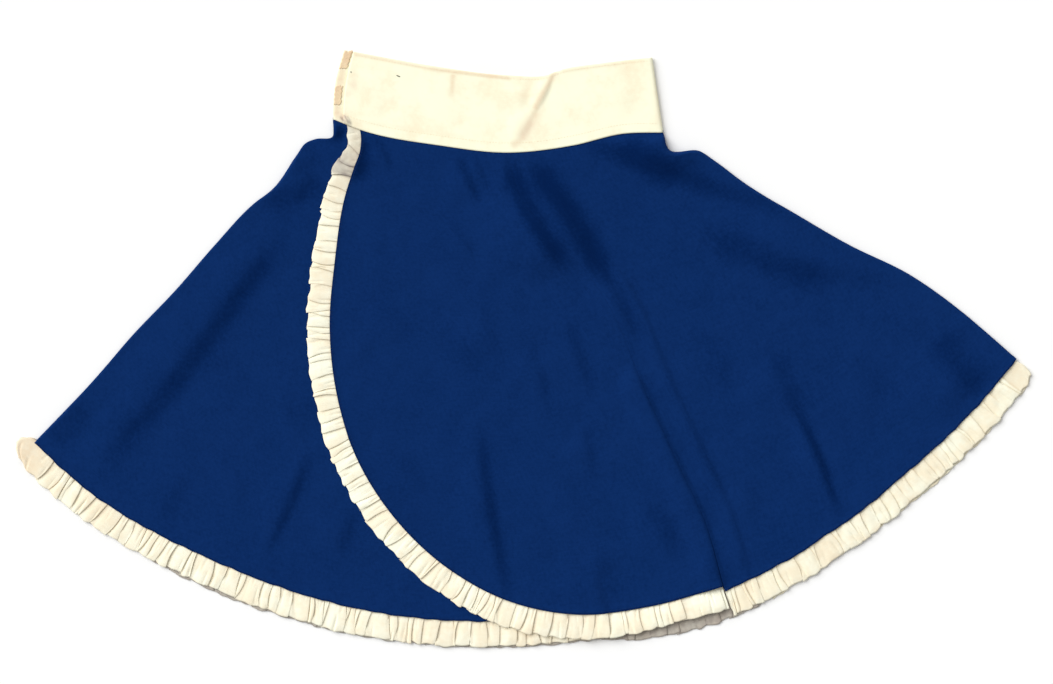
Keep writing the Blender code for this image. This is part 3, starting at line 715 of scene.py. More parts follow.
# %% Blue cotton
def make_blue():
    """Deep blue cotton: mottled dye, paler where it has rubbed, with shade painted darker into its folds,
    turned edges and front seam.
    """
    made, start, shader = new_finish("blue_cotton_worn_and_shaded", 0.90, 0.03)
    bump, slubs = woven(start, 0.35, 0.0003)
    place = start.node("ShaderNodeTexCoord", output="Object")
    clouds = start.noise(place, 26.0, 2.0)
    flecks = start.noise(place, 340.0, 3.0)
    rubbed = start.attribute("rubbed")
    painted_blue_shade = start.attribute("painted_blue_shade")
    mottled = clouds * 0.25 + flecks * 0.60 + slubs * 0.30
    # Painted shade: the blue darkens where the mesh carries shade for folds, turned edges and the front seam.
    tone_wear_and_shade = mottled + rubbed * RUBBED_PALER - painted_blue_shade * PAINTED_SHADE_DARKER - 0.07
    feed(start, shader["Base Color"], tone_wear_and_shade.between(0.05, 0.95).colour(BLUE_DEEP, BLUE_WORN))
    feed(start, shader["Normal"], bump)
    return made


def make_cream(name, clean, warm, warmth):
    """Cream cotton: yellowed in clouds, with aged and pinkish patches and painted shade where the mesh says.
    """
    made, start, shader = new_finish(name, 0.86, 0.12)
    bump, slubs = woven(start, 0.30, 0.0003)
    place = start.node("ShaderNodeTexCoord", output="Object")
    clouds = start.noise(place, 38.0, 3.0)
    blotches = start.noise(place, 210.0, 3.0)
    yellowed = (clouds + blotches * 0.35 + slubs * 0.12).between(0.62 - warmth, 1.05 - warmth)
    colour = yellowed.colour(clean, warm)
    # The second mark is painted shade.
    for mark, tint in (("aged", AGED_TAN), ("painted_shade", PAINTED_SHADE_TONE), ("blush", BLUSH)):
        amount = start.attribute(mark) * (0.70 + blotches * 0.6)
        colour = amount.colour(colour, tint)
    feed(start, shader["Base Color"], colour)
    feed(start, shader["Normal"], bump)
    return made


def make_thread(name, colour, dark):
    """Sewing thread, twisted, a little shiny."""
    made, start, shader = new_finish(name, 0.65, 0.25)
    place = start.node("ShaderNodeTexCoord", output="Object")
    feed(start, shader["Base Color"], start.noise(place, 900.0).between(0.3, 0.7).colour(dark, colour))
    return made


BLUE_CLOTH = make_blue()
BAND_CLOTH = make_cream("cream_band_yellowed_and_shaded", CREAM_CLEAN, CREAM_WARM, -0.06)
RUFFLE_CLOTH = make_cream("cream_ruffle_aged_and_shaded", RUFFLE_CLEAN, RUFFLE_WARM, 0.05)
TAPE_CLOTH = make_cream("tan_tape_discoloured", TAPE_TAN, TAPE_DARK, 0.05)
BLUE_THREAD = make_thread("blue_thread", BLUE_WORN, BLUE_DEEP)
CREAM_THREAD = make_thread("cream_thread", CREAM_WARM, AGED_TAN)
DARK_THREAD = make_thread("dark_thread", LOOSE_PALE, LOOSE_DARK)
print("finishes:", [m.name for m in bpy.data.materials if m.users or m.use_nodes])

# %% [markdown]
# ## From a grid of points to a thin closed shell
#
# Real cloth has a thickness, and a mesh without one has no edge to catch the light. The helper below
# moves the grid out along its normals on both sides and closes the rim. Solidify would do the same,
# but here the cloth also turns over side folds and tucks, and the mesh needs its marks on both faces.

# %% Shell helper
CLOTH_WALL = 0.0006
FLOOR_CLEAR = 0.00005
NO_MARK = np.zeros(1)


def run_lengths(grid, axis):
    """How far each point of a grid is from the start of its row (axis 0) or column (axis 1)."""
    steps = length_of(np.diff(grid, axis=axis))
    start = np.zeros_like(steps.take([0], axis=axis))
    return np.cumsum(np.concatenate((start, steps), axis=axis), axis=axis)


def shell(name, grid, wall, finish, nodes, marks):
    """Make a thin closed shell on a grid of points, which rides on the root body."""
    across = np.gradient(grid, axis=0)
    down = np.gradient(grid, axis=1)
    normal = np.cross(across, down)
    normal /= np.maximum(wide(length_of(normal)), 1e-12)
    columns, rows = grid.shape[:2]
    half = normal * wall / 2
    points = np.concatenate(((grid + half).reshape(-1, 3), (grid - half).reshape(-1, 3)))
    points[:, 2] = np.maximum(points[:, 2], FLOOR_CLEAR)
    index = np.arange(columns * rows).reshape(columns, rows)
    under = index + columns * rows

    def quads(a, b, c, d):
        return np.stack([side.ravel() for side in (a, b, c, d)], axis=1)

    faces = np.concatenate(
        (
            quads(index[:-1, :-1], index[1:, :-1], index[1:, 1:], index[:-1, 1:]),
            quads(under[:-1, :-1], under[:-1, 1:], under[1:, 1:], under[1:, :-1]),
            quads(index[:-1, 0], under[:-1, 0], under[1:, 0], index[1:, 0]),
            quads(index[:-1, -1], index[1:, -1], under[1:, -1], under[:-1, -1]),
            quads(index[0, :-1], index[0, 1:], under[0, 1:], under[0, :-1]),
            quads(index[-1, :-1], under[-1, :-1], under[-1, 1:], index[-1, 1:]),
        )
    )
    mesh = bpy.data.meshes.new(name)
    mesh.from_pydata(points, [], faces)
    mesh.shade_smooth()
    lengths = {"along": run_lengths(grid, 0), "down": run_lengths(grid, 1)}
    for mark, values in {**lengths, **marks}.items():
        layer = mesh.attributes.new(mark, "FLOAT", "POINT")
        both = np.broadcast_to(values, (columns, rows)).ravel()
        layer.data.foreach_set("value", np.concatenate((both, both)).astype(np.float32))
    mesh.materials.append(finish)
    piece = bpy.data.objects.new(name, mesh)
    bpy.context.scene.collection.objects.link(piece)
    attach(piece, "root")
    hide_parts(*nodes)
    return piece


def surface_area(grid):
    """Area of a grid of points, from its quads."""
    a = grid[1:, :-1] - grid[:-1, :-1]
    b = grid[:-1, 1:] - grid[:-1, :-1]
    return float(length_of(np.cross(a, b)).sum())


# %% [markdown]
# ## The blue gores
#
# Each gore is a patch between four edges. Its hem is turned up over the ruffle's raw edge, so the cloth
# is a little higher there and puckers where the ruffle was eased in, and its top goes up under the band.
# The two gores at the sides are not cut there: their cloth runs on round the fold to the lower layer,
# so one grid makes the upper half, the turn and the lower half.

# %% Panels
CLOTH_STEP = 0.0034
EDGE_STEPS = (0.0006, 0.0013, 0.0022, 0.0034, 0.0050)
HIDDEN_STEP = 0.0085
TURN_STEPS = 6
HEM_TURN_UP = 0.0070
HEM_LIFT = 0.0005
PUCKER_PERIOD = 0.0120
PUCKER_HEIGHT = 0.00016
PUCKER_REACH = 0.014
TUCK_UNDER_BAND = (0.0032, 0.0012)
SEAM_GROOVE = 0.0026
SEAM_GROOVE_DEPTH = 0.0002
# EDGE_SHADE and EDGE_WIDTH: shade painted along the over gore's rounded edge and along the turned-up hems.
EDGE_SHADE = 0.9
EDGE_WIDTH = 0.0030
SEAM_STEP = 0.0034
SEAM_STEP_WIDTH = 0.0085
SEAM_FADE = 0.10
ALLOWANCE = 0.0285
ALLOWANCE_STEP = 0.0018
ALLOWANCE_WIDTH = 0.0050
SEAM_STEP_RUN = (0.50, 1.06)
ALLOWANCE_RUN = (0.30, 1.0)
SEAM_LINE_RUN = (0.36, 1.0)
# Painted shade along the front seam's groove and along the step of its hidden allowance.
SeamShade = namedtuple("SeamShade", "shift width strength fade")
SEAM_SHADE_LINES = (SeamShade(0.0010, 0.0030, 0.34, 0.2), SeamShade(ALLOWANCE, 0.0028, 0.18, 0.7))
SEAM_RUB = 0.3
SEAM_RUB_WIDTH = 0.006
RIGHT_SEAM_RUB_WIDTH = 0.005
FOLD_RUB = 0.8


def on_waist(start, end):
    """The waist edge of a panel."""
    return lambda t: WAIST(mix(start, end, np.asarray(t, float))) - np.array((0.0, SEAM_GAP))


def make_fold_axis(fold_line, sign, height):
    """The outward directions of a side fold, and the line about which its cloth turns."""

    def outward(v):
        return side_of(fold_line, v) * sign

    def axis(v):
        outer = fold_line(v)
        radius = (height(outer) - BACK_HEIGHT) / 2
        return outer - outward(v) * wide(radius + CLOTH_WALL / 2)

    return outward, axis


RIGHT_OUTWARD, RIGHT_AXIS = make_fold_axis(RIGHT_FOLD_LINE, 1.0, front_height)
LEFT_OUTWARD, LEFT_AXIS = make_fold_axis(LEFT_FOLD_LINE, -1.0, under_height)

OVER_PANEL = patch(
    on_waist(FRONT_SEAM_ON_BAND, OVER_START_ON_BAND),
    part_of(OVER_EDGE_LINE, 1.0, OVER_EDGE_TURN),
    beside(FRONT_SEAM_LINE, -SEWN_GAP / 2),
    part_of(OVER_EDGE_LINE, 0.0, OVER_EDGE_TURN),
)
RIGHT_UPPER = patch(
    on_waist(FRONT_SEAM_ON_BAND, 1.0),
    hem_curve(RIGHT_HEM, FRONT_SEAM_ANGLE, RIGHT_FOLD_ANGLE),
    beside(RIGHT_SEAM_LINE, SEWN_GAP / 2),
    RIGHT_AXIS,
)
RIGHT_LOWER = patch(
    on_waist(RIGHT_BACK_SEAM_ON_BAND, 1.0),
    hem_curve(BACK_HEM, RIGHT_BACK_SEAM_ANGLE, RIGHT_FOLD_ANGLE),
    beside(RIGHT_BACK_SEAM, SEAM_GAP / 2),
    RIGHT_AXIS,
)
LEFT_UPPER = patch(
    on_waist(HIDDEN_EDGE_ON_BAND, 0.0),
    hem_curve(UNDER_HEM, HIDDEN_EDGE_ANGLE, LEFT_FOLD_ANGLE),
    HIDDEN_EDGE,
    LEFT_AXIS,
)
LEFT_LOWER = patch(
    on_waist(LEFT_BACK_SEAM_ON_BAND, 0.0),
    hem_curve(BACK_HEM, LEFT_BACK_SEAM_ANGLE, LEFT_FOLD_ANGLE),
    beside(LEFT_BACK_SEAM, -SEAM_GAP / 2),
    LEFT_AXIS,
)
BACK_PANEL = patch(
    on_waist(RIGHT_BACK_SEAM_ON_BAND, LEFT_BACK_SEAM_ON_BAND),
    hem_curve(BACK_HEM, RIGHT_BACK_SEAM_ANGLE, LEFT_BACK_SEAM_ANGLE),
    beside(RIGHT_BACK_SEAM, -SEAM_GAP / 2),
    beside(LEFT_BACK_SEAM, SEAM_GAP / 2),
)


def finer_ends(length, step):
    """Values from 0 to 1 in even steps of about this size, with finer ones at both ends."""
    even = np.linspace(0.0, 1.0, int(length / step) + 1)
    ends = np.array(EDGE_STEPS) / length
    inside = even[(even > ends[-1] + 0.3 * step / length) & (even < 1.0 - ends[-1] - 0.3 * step / length)]
    return np.concatenate(([0.0], ends, inside, 1.0 - ends[::-1], [1.0]))


def steps_for(panel, step):
    """Values of u and v that divide a panel into steps of about this size."""
    half = np.full(200, 0.5)
    run = np.linspace(0.0, 1.0, 200)
    down = length_of(np.diff(panel(half, run), axis=0)).sum()
    across = length_of(np.diff(panel(run, half * 2.0), axis=0)).sum()
    return finer_ends(across, step), finer_ends(down, step)


def hem_finish(grid, v_length, sign):
    """Lift a panel's last rows where its hem is turned up, and pucker them a little."""
    from_hem = v_length[:, -1:] - v_length
    turned = smooth(1.0 - from_hem / HEM_TURN_UP)
    run = np.cumsum(np.concatenate(([0.0], length_of(np.diff(grid[:, -1], axis=0)))))[:, None]
    drift = 2.0 * np.sin(run * 61.0)
    pucker = np.sin(run * 2 * np.pi / PUCKER_PERIOD + drift) * smooth(1.0 - from_hem / PUCKER_REACH)
    grid[..., 2] += sign * (HEM_LIFT * turned + PUCKER_HEIGHT * pucker)
    return turned


def tuck_under_band(grid, height):
    """Add the rows that go up under the band."""
    rows = []
    for rise in TUCK_UNDER_BAND:
        row = grid[:, :1].copy()
        row[..., 1] += rise
        row[..., 2] = height
        rows.append(row)
    return np.concatenate(rows + [grid], axis=1)


def lay(panel, height, u, v):
    """A grid of points of a panel, each at its height."""
    across, down = np.meshgrid(u, v, indexing="ij")
    places = panel(across, down)
    return np.concatenate((places, wide(height(places))), axis=-1)


def seam_groove(grid):
    """Press a narrow groove along the front seam, with a soft step down past its lower part."""
    points = FRONT_SEAM_LINE(np.linspace(0.0, 1.0, 60))
    distance, along, _ = along_line(grid[..., :2], points)
    uneven = 0.75 + 0.25 * np.sin(along * 83.0) * np.sin(along * 31.0)
    grid[..., 2] -= SEAM_GROOVE_DEPTH * uneven * smooth(1.0 - distance / SEAM_GROOVE)
    lower = FRONT_SEAM_LINE(np.linspace(*SEAM_STEP_RUN, 50))
    grid[..., 2] += ridge_along(grid[..., :2], lower, SEAM_STEP_WIDTH, SEAM_STEP, SEAM_FADE)
    return distance


def allowance_ridge(grid):
    """The edge of the seam's wide allowance shows through as a soft step, to the right of the seam."""
    hidden = beside(FRONT_SEAM_LINE, ALLOWANCE)(np.linspace(*ALLOWANCE_RUN, 60))
    grid[..., 2] += ridge_along(grid[..., :2], hidden, ALLOWANCE_WIDTH, ALLOWANCE_STEP, SEAM_FADE)


def blue_marks(grid, rubbed, edge, table):
    """The marks of a blue panel: where it is rubbed, and shade painted into its folds' dark bands, along its
    turned edges and, on the front, along the seam and its allowance.
    """
    painted_blue_shade = np.maximum(fold_shade_mask(grid[..., :2], table), edge)
    if table is FRONT_CREASES:
        # Painted shade along the seam and along its allowance's step.
        for row in SEAM_SHADE_LINES:
            line = beside(FRONT_SEAM_LINE, row.shift)(np.linspace(*SEAM_LINE_RUN, 60))
            distance, along, _ = along_line(grid[..., :2], line)
            fade = smooth(along / row.fade)
            painted_blue_shade = np.maximum(painted_blue_shade, row.strength * fade * np.exp(-((distance / row.width) ** 2)))
    return {"rubbed": rubbed, "painted_blue_shade": painted_blue_shade}


def with_tucked_rows(marks):
    """Marks with empty rows for the cloth that goes up under the band."""
    return np.pad(marks, ((0, 0), (len(TUCK_UNDER_BAND), 0)))


def blue_shell(name, grid, node, marks):
    """The shell of a gore."""
    return shell(name, grid, CLOTH_WALL, BLUE_CLOTH, [node], marks)


# %% The over gore
over_u, over_v = steps_for(OVER_PANEL, CLOTH_STEP)
over_grid = lay(OVER_PANEL, front_height, over_u, over_v)
over_turned = hem_finish(over_grid, run_lengths(over_grid, 1), 1.0)
edge_distance = along_line(over_grid[..., :2], OVER_EDGE_LINE(np.linspace(0.0, 1.0, 120)))[0]
over_grid[..., 2] += HEM_LIFT * smooth(1.0 - edge_distance / HEM_TURN_UP) * (1.0 - over_turned)
seam_distance = seam_groove(over_grid)
# Painted shade along the rounded edge, where the cloth turns under.
over_edge_shade = EDGE_SHADE * smooth(1.0 - np.minimum(edge_distance, 1.0) / EDGE_WIDTH)
over_rubbed = SEAM_RUB * smooth(1.0 - seam_distance / SEAM_RUB_WIDTH)
over_grid = tuck_under_band(over_grid, TUCKED_HEIGHTS[2])
over_gore_marks = blue_marks(
    over_grid, with_tucked_rows(over_rubbed), with_tucked_rows(over_edge_shade), FRONT_CREASES
)
front_over = blue_shell("over_gore_cloth", over_grid, "front_over", over_gore_marks)
print("highest fold in mm:", round(float(over_grid[..., 2].max()) * 1000, 1))
print("over gore:", over_grid.shape, "points,", round(surface_area(over_grid), 3), "square metres")


# %% The two folded gores
def folded_gore(upper, lower, outward, height, steps, tucked):
    """One grid for a gore that runs along the top, round a side fold and back along the bottom."""
    u, v = steps_for(upper, steps[0])
    top = lay(upper, height, u, v)
    turned_up = hem_finish(top, run_lengths(top, 1), 1.0)
    ring = top[-1, :, :2]
    low_u = steps_for(lower, steps[1])[0]
    bottom = lay(lower, level, low_u, v)[::-1]
    out = outward(v)
    high = top[-1, :, 2]
    middle, radius = (high + BACK_HEIGHT) / 2, (high - BACK_HEIGHT) / 2
    turns = []
    for turn in np.linspace(0.5, -0.5, TURN_STEPS + 1)[1:-1] * np.pi:
        flat = ring + out * wide(radius * np.cos(turn))
        turns.append(np.concatenate((flat, wide(middle + radius * np.sin(turn))), axis=-1)[None])
    bottom_tucked = tuck_under_band(bottom, TUCKED_HEIGHTS[0])
    top_tucked = tuck_under_band(top, tucked)
    turn_tucked = []
    for part, ring_points in enumerate(turns):
        share = (part + 1.0) / TURN_STEPS
        turn_tucked.append(tuck_under_band(ring_points, mix(tucked, TUCKED_HEIGHTS[0], share)))
    grid = np.concatenate([top_tucked, *turn_tucked, bottom_tucked])
    rubbed = np.zeros(grid.shape[:2])
    edge = np.zeros(grid.shape[:2])
    extra = len(TUCK_UNDER_BAND)
    # Painted shade along the turned-up hem.
    edge[: len(top), extra:] = EDGE_SHADE * smooth(turned_up * 4.5 - 3.5)
    fold_rub = np.exp(-((np.arange(len(grid)) - len(top) - 1) / 2.0) ** 2)
    rubbed = np.maximum(rubbed, FOLD_RUB * fold_rub[:, None])
    return grid, rubbed, edge, len(top)


right_grid, right_rubbed, right_edge_shade, right_top = folded_gore(
    RIGHT_UPPER, RIGHT_LOWER, RIGHT_OUTWARD, front_height, (CLOTH_STEP, HIDDEN_STEP), TUCKED_HEIGHTS[2]
)
right_seam = seam_groove(right_grid[:right_top])
right_seam_rub = SEAM_RUB * smooth(1.0 - right_seam / RIGHT_SEAM_RUB_WIDTH)
right_rubbed[:right_top] = np.maximum(right_rubbed[:right_top], right_seam_rub)
allowance_ridge(right_grid[:right_top])
right_marks = blue_marks(right_grid, right_rubbed, right_edge_shade, FRONT_CREASES)
side_right = blue_shell("right_gore_cloth", right_grid, "side_right", right_marks)

left_grid, left_rubbed, left_edge_shade, _ = folded_gore(
    LEFT_UPPER, LEFT_LOWER, LEFT_OUTWARD, under_height, (CLOTH_STEP, HIDDEN_STEP), TUCKED_HEIGHTS[1]
)
left_marks = blue_marks(left_grid, left_rubbed, left_edge_shade, UNDER_CREASES)
front_under = blue_shell("under_gore_cloth", left_grid, "front_under", left_marks)

# %% The back gore
back_u, back_v = steps_for(BACK_PANEL, HIDDEN_STEP)
back_grid = tuck_under_band(lay(BACK_PANEL, level, back_u, back_v), TUCKED_HEIGHTS[0])
back = blue_shell("back_gore_cloth", back_grid, "back", {"rubbed": NO_MARK, "painted_blue_shade": NO_MARK})
print("right, under and back gores:", right_grid.shape, left_grid.shape, back_grid.shape)

# %% [markdown]
# ## The ruffle
#
# The real ruffle is a strip of cream cotton folded lengthwise, eased into the hem with small flat tucks.
# At each tuck the cloth runs over a lip, back underneath and forward again, so the lip throws a thin
# dark line on the next tuck. A wavy surface would look like rubber, so the strip follows that path:
# each column of points has a place along the hem, a height, and how far it moves with the lip. Tucks
# are unevenly spaced, lean a little, and stick out of the edge by different amounts.

# %% Tucks along a strip
RUFFLE_WALL = 0.00035
RUFFLE_WIDTH = 0.0250
UNDER_HEM_REACH = 0.0030
TUCK_DEPTH = 0.0028
TUCK_LIP = (0.0003, 0.0013)
TUCK_LEAN = 0.0048
TUCK_BEND = 0.0022
EDGE_STEP = 0.0028
EDGE_JITTER = 0.0010
OPEN_SHARE = 0.66
HELD_ALONG = 1.6
STILL_HELD = 0.04
OPENS_AT = (0.30, 0.85)
DRAWN_HEIGHTS = (0.55, 1.0)
EDGE_RISES = (-0.35, 1.0)
OPEN_EDGE = 0.45
OPENING = 0.28
# TUCK_SHADE and SEAM_SHADE: shade painted grey into the tucks and along the seam under the hem.
TUCK_SHADE = 0.34
TUCK_TAN = 0.28
SEAM_TAN = 0.06
SEAM_SHADE = 0.45
PATCHY_TAN = 0.10
FINE_STEP = 0.00075
HIDDEN_COLUMN_STEP = 0.0016
RUFFLE_ROWS = np.array((0.0, 0.07, 0.14, 0.22, 0.31, 0.41, 0.51, 0.61, 0.71, 0.80, 0.88, 0.95, 1.0))
Stretch = namedtuple("Stretch", "end spacing uneven")
Tuck = namedtuple("Tuck", "place lip lean bend height step jitter opens")
Placed = namedtuple("Placed", "place lean height opens")


def draw_tuck(draw, place):
    """One tuck with its own lip, slant, height and edge; some open out before they reach the edge."""
    opens = draw.uniform(*OPENS_AT) if draw.random() < OPEN_SHARE else HELD_ALONG
    return Tuck(
        place,
        draw.uniform(*TUCK_LIP),
        draw.uniform(-TUCK_LEAN, TUCK_LEAN),
        draw.uniform(-TUCK_BEND, TUCK_BEND),
        draw.uniform(*DRAWN_HEIGHTS),
        draw.uniform(*EDGE_RISES) * EDGE_STEP * (OPEN_EDGE if opens < 1.0 else 1.0),
        draw.uniform(-1.0, 1.0) * EDGE_JITTER,
        opens,
    )


def mark_tucks(length, stretches, seed, first=(), last=()):
    """Tucks along a strip: some listed for its two ends, the rest stretch by stretch."""
    draw = random.Random(seed)
    tucks = [draw_tuck(draw, 0.0)]
    for row in first:
        tucks.append(draw_tuck(draw, row.place)._replace(lean=row.lean, height=row.height, opens=row.opens))
    until = length - last[0].place if last else length
    place = tucks[-1].place
    while True:
        stretch = next((row for row in stretches if place < row.end), stretches[-1])
        place += stretch.spacing * draw.uniform(1.0 - stretch.uneven, 1.0 + stretch.uneven)
        if place > until - 0.35 * stretch.spacing:
            break
        tucks.append(draw_tuck(draw, place))
    for row in last:
        placed = draw_tuck(draw, length - row.place)
        tucks.append(placed._replace(lean=row.lean, height=row.height, opens=row.opens))
    if not last:
        tucks.append(draw_tuck(draw, length))
    return tucks


def strip_columns(tucks, column_step):
    """The columns of points of a tucked strip, from tuck to tuck.

    A row holds: place, distance from it along the strip while the tuck is held, lean, bend, height
    while it is held and once it has opened, reach of the edge, tan and painted shade at the tuck's lip,
    and where along its line it opens.
    """
    columns = []
    for start, end in zip(tucks, tucks[1:]):
        span = end.place - start.place
        depth = min(TUCK_DEPTH, 0.35 * span)
        if start is not tucks[0]:
            for share, held, opened in ((1.0, 0.14, 0.71), (0.35, 0.05, 0.70)):
                offset = -depth * share
                rises = (held * start.height, opened * start.height)
                columns.append((start.place, offset, start.lean, start.bend, *rises, 0.0, 0.8, start.opens))
        count = max(int(span / column_step), 3)
        for k in range(count + 1):
            part = k / count
            lifted = float(smooth(part / 0.6))
            held, opened = mix(0.08, end.height, lifted), mix(0.69 * start.height, 0.84 * end.height, lifted)
            edge = end.jitter + end.step * (part - 0.5) - 0.0007 * float(smooth((part - 0.85) / 0.15))
            tan_and_shade = float(np.exp(-part * 9.0) * 0.8 + np.exp(-(1 - part) * 16.0) * 0.3)
            lean, bend = mix(start.lean, end.lean, part), mix(start.bend, end.bend, part)
            opens = mix(start.opens, end.opens, part)
            place = mix(start.place, end.place, part)
            columns.append((place, 0.0, lean, bend, held, opened, edge, tan_and_shade, opens))
        if end is tucks[-1]:
            break
        edge = end.jitter + 0.5 * end.step - 0.0007
        shape = (
            (0.75 * end.lip, 0.98, 0.83, 0.3),
            (end.lip, 0.84, 0.80, 0.4),
            (0.9 * end.lip, 0.66, 0.77, 0.6),
            (-0.5 * depth, 0.50, 0.74, 0.8),
            (-depth, 0.32, 0.72, 0.8),
        )
        for offset, held, opened, tan_and_shade in shape:
            rises = (held * end.height, opened * end.height)
            columns.append((end.place, offset, end.lean, end.bend, *rises, edge, tan_and_shade, end.opens))
    return np.array(columns).T[:, :, None]


# %% [markdown]
# Between the full tucks, shorter ones start at the seam and fade out before the edge. They are narrow
# troughs with one steep side, drawn at random along the strip but always the same for one seed.

# %% Short tucks
DART_EVERY = 0.0046
DART_WIDTH = 0.0010
DART_DEPTH = 0.95
DART_SPACINGS = (0.25, 1.9)
DART_LEAN = 0.0035
DARTS_AT_SEAM = 0.72
DART_ENDS = (0.22, 0.75)
DART_STARTS = (0.3, 0.6)
DART_WIDTHS = (0.6, 1.5)
DART_DEPTHS = (0.35, 1.0)


def short_tucks(along, v, length, seed):
    """How far the strip is pressed down by its short tucks, as a part of its height."""
    draw = random.Random(seed)
    pressed = np.zeros(np.broadcast(along, v).shape)
    place = 0.0
    while place < length:
        place += DART_EVERY * draw.uniform(*DART_SPACINGS)
        lean = draw.uniform(-DART_LEAN, DART_LEAN)
        at_seam = draw.random() < DARTS_AT_SEAM
        first, last = (-0.4, draw.uniform(*DART_ENDS)) if at_seam else (draw.uniform(*DART_STARTS), 1.4)
        across = (along - place - lean * v) / (DART_WIDTH * draw.uniform(*DART_WIDTHS))
        gentle = np.exp(np.minimum(across, 0.0) * 0.8)
        trough = np.where(across < 0.0, gentle, np.exp(-((across * 1.7) ** 2)))
        fade = smooth((v - first) / 0.15) * smooth((last - v) / 0.30)
        pressed = np.maximum(pressed, DART_DEPTH * draw.uniform(*DART_DEPTHS) * trough * fade)
    return pressed


def tucked_strip(tucks, path, widths, heights, seed, column_step=FINE_STEP, grey=None):
    """A grid for a tucked strip along a path, with its marks of age and of painted shade.

    The path takes distances along the strip and rows across it, and gives places, outward and upward
    directions and the strip's inner and outer heights; heights are the tucks' own, at seam and edge.
    """
    place, offset, lean, bend, held_rise, open_rise, edge, tan_and_shade, opens = strip_columns(tucks, column_step)
    v = RUFFLE_ROWS[None, :]
    length = tucks[-1].place
    hold = np.maximum(1.0 - smooth((v - opens) / OPENING), STILL_HELD)
    spread = np.where(offset > 0.0, np.power(v, 0.6), 1.0)
    slanted = lean * v + bend * np.sin(np.pi * v)
    along = np.clip(place + offset * hold * spread + slanted, 0.0, length)
    centre, out, up, inner, outer = path(along, v)
    wavy = 0.0005 * np.sin(along * 2 * np.pi / 0.0165 + 2.0 * np.sin(along * 71.0))
    reach = mix(-UNDER_HEM_REACH, read_between(widths, along) + edge + wavy, v)
    tall = mix(heights[0], heights[1], smooth(v * 1.5)) * (1.0 - 0.45 * smooth((v - 0.84) / 0.16))
    rise = mix(open_rise, held_rise, hold)
    rise = rise * (1.0 - short_tucks(along, v, length, seed) * (offset == 0.0))
    flare = np.sin(along * 2 * np.pi / 0.031 + 3.0 * np.sin(along * 47.0)) * 0.12 * smooth(v)
    level_of = mix(inner, outer, smooth(v * 1.3)) + tall * (rise + flare * (rise > 0.4))
    grid = np.concatenate((centre + out * wide(reach), np.zeros_like(wide(reach))), axis=-1)
    grid = grid + up * wide(level_of)
    seam_age = smooth(1.0 - v / 0.22) * SEAM_TAN
    # Painted shade: grey along the seam where the strip goes under the blue hem, and grey in the tucks.
    seam_shade = smooth(1.0 - v / 0.17) * SEAM_SHADE
    tuck_tan_and_shade = tan_and_shade * hold * (0.4 + 0.6 * smooth(1.0 - v / 1.2))
    painted_shade = np.maximum(TUCK_SHADE * tuck_tan_and_shade, seam_shade)
    if grey is not None:
        painted_shade = np.clip(painted_shade + read_between(grey, along) * (0.8 + 0.9 * tuck_tan_and_shade), 0.0, 1.0)
    waves = 1.0 + np.sin(along * 41.0 + seed) * np.sin(along * 97.0)
    patchy = PATCHY_TAN * waves * smooth(0.5 + 0.5 * np.sin(along * 13.0))
    aged = np.clip(TUCK_TAN * tuck_tan_and_shade + seam_age + patchy, 0.0, 1.0)
    return grid, {"aged": aged, "painted_shade": painted_shade, "blush": NO_MARK}


# %% Paths for the strips
UP = np.array((0.0, 0.0, 1.0))
SEAM_DROP = 0.00160
HEM_EDGE_HEIGHT = 0.00205
BACK_RUFFLE_TOP = (0.00175, 0.00145)
CORNER_REACH = 0.024
CORNER_ROUNDING = 0.0035


def flat_directions(out):
    """Upward directions for places where the strip lies on its back."""
    return np.broadcast_to(UP, (*out.shape[:-1], 3))


def folded_path(upper_hem, lower_hem, outward, height, bulge):
    """A path along an upper hem, round the side fold and back along the lower hem."""
    on_top = curve_length(upper_hem)
    below = curve_length(lower_hem)
    corner = upper_hem(1.0)
    high = float(height(corner)) - SEAM_DROP
    middle, radius = (high + BACK_RUFFLE_TOP[0]) / 2, (high - BACK_RUFFLE_TOP[0]) / 2
    around_fold = np.pi * radius
    side = outward(1.0)

    def at(along, v):
        first = np.clip(along / on_top, 0.0, 1.0)
        last = np.clip((along - on_top - around_fold) / below, 0.0, 1.0)
        turn = np.pi * (0.5 - np.clip((along - on_top) / around_fold, 0.0, 1.0))
        is_low = wide(along > on_top + around_fold / 2)
        centre = np.where(is_low, lower_hem(last), upper_hem(first))
        out = centre - CUT_CENTRE
        out = out / wide(length_of(out))
        turning = (along > on_top) & (along < on_top + around_fold)
        centre = np.where(wide(turning), corner + side * wide(radius * np.cos(turn)), centre)
        near_fold = smooth(1.0 - np.abs(along - on_top - around_fold / 2) / CORNER_REACH)
        rounded = np.sin(np.pi * np.clip(0.12 + 0.78 * v, 0.0, 1.0))
        centre = centre + side * wide(near_fold * (bulge + CORNER_ROUNDING) * rounded)
        centre = centre - side * wide(near_fold * CORNER_ROUNDING)
        round_up = np.concatenate((side * wide(np.cos(turn)), wide(np.sin(turn))), axis=-1)
        up = np.where(wide(turning), round_up, np.where(is_low, -UP, UP))
        on_face = along <= on_top
        inner = np.where(on_face, height(centre) - SEAM_DROP, -BACK_RUFFLE_TOP[0])
        outer = np.where(on_face, HEM_EDGE_HEIGHT, -BACK_RUFFLE_TOP[1])
        inner = np.where(turning, 0.0, inner)
        outer = np.where(turning, 0.0, outer)
        lifted = np.where(turning, middle + radius * np.sin(turn), 0.0)
        return (centre, out, up, inner, outer), lifted

    return at, on_top + around_fold + below, (on_top, around_fold)


print("ruffle strips are", RUFFLE_WIDTH * 1000, "mm wide")

# %% [markdown]
# ### The strip on the over gore
#
# It starts as a narrow smooth end that comes out from under the band, with shade painted on it there,
# and ends with a smooth stretch and a folded end where the front seam meets the hem.

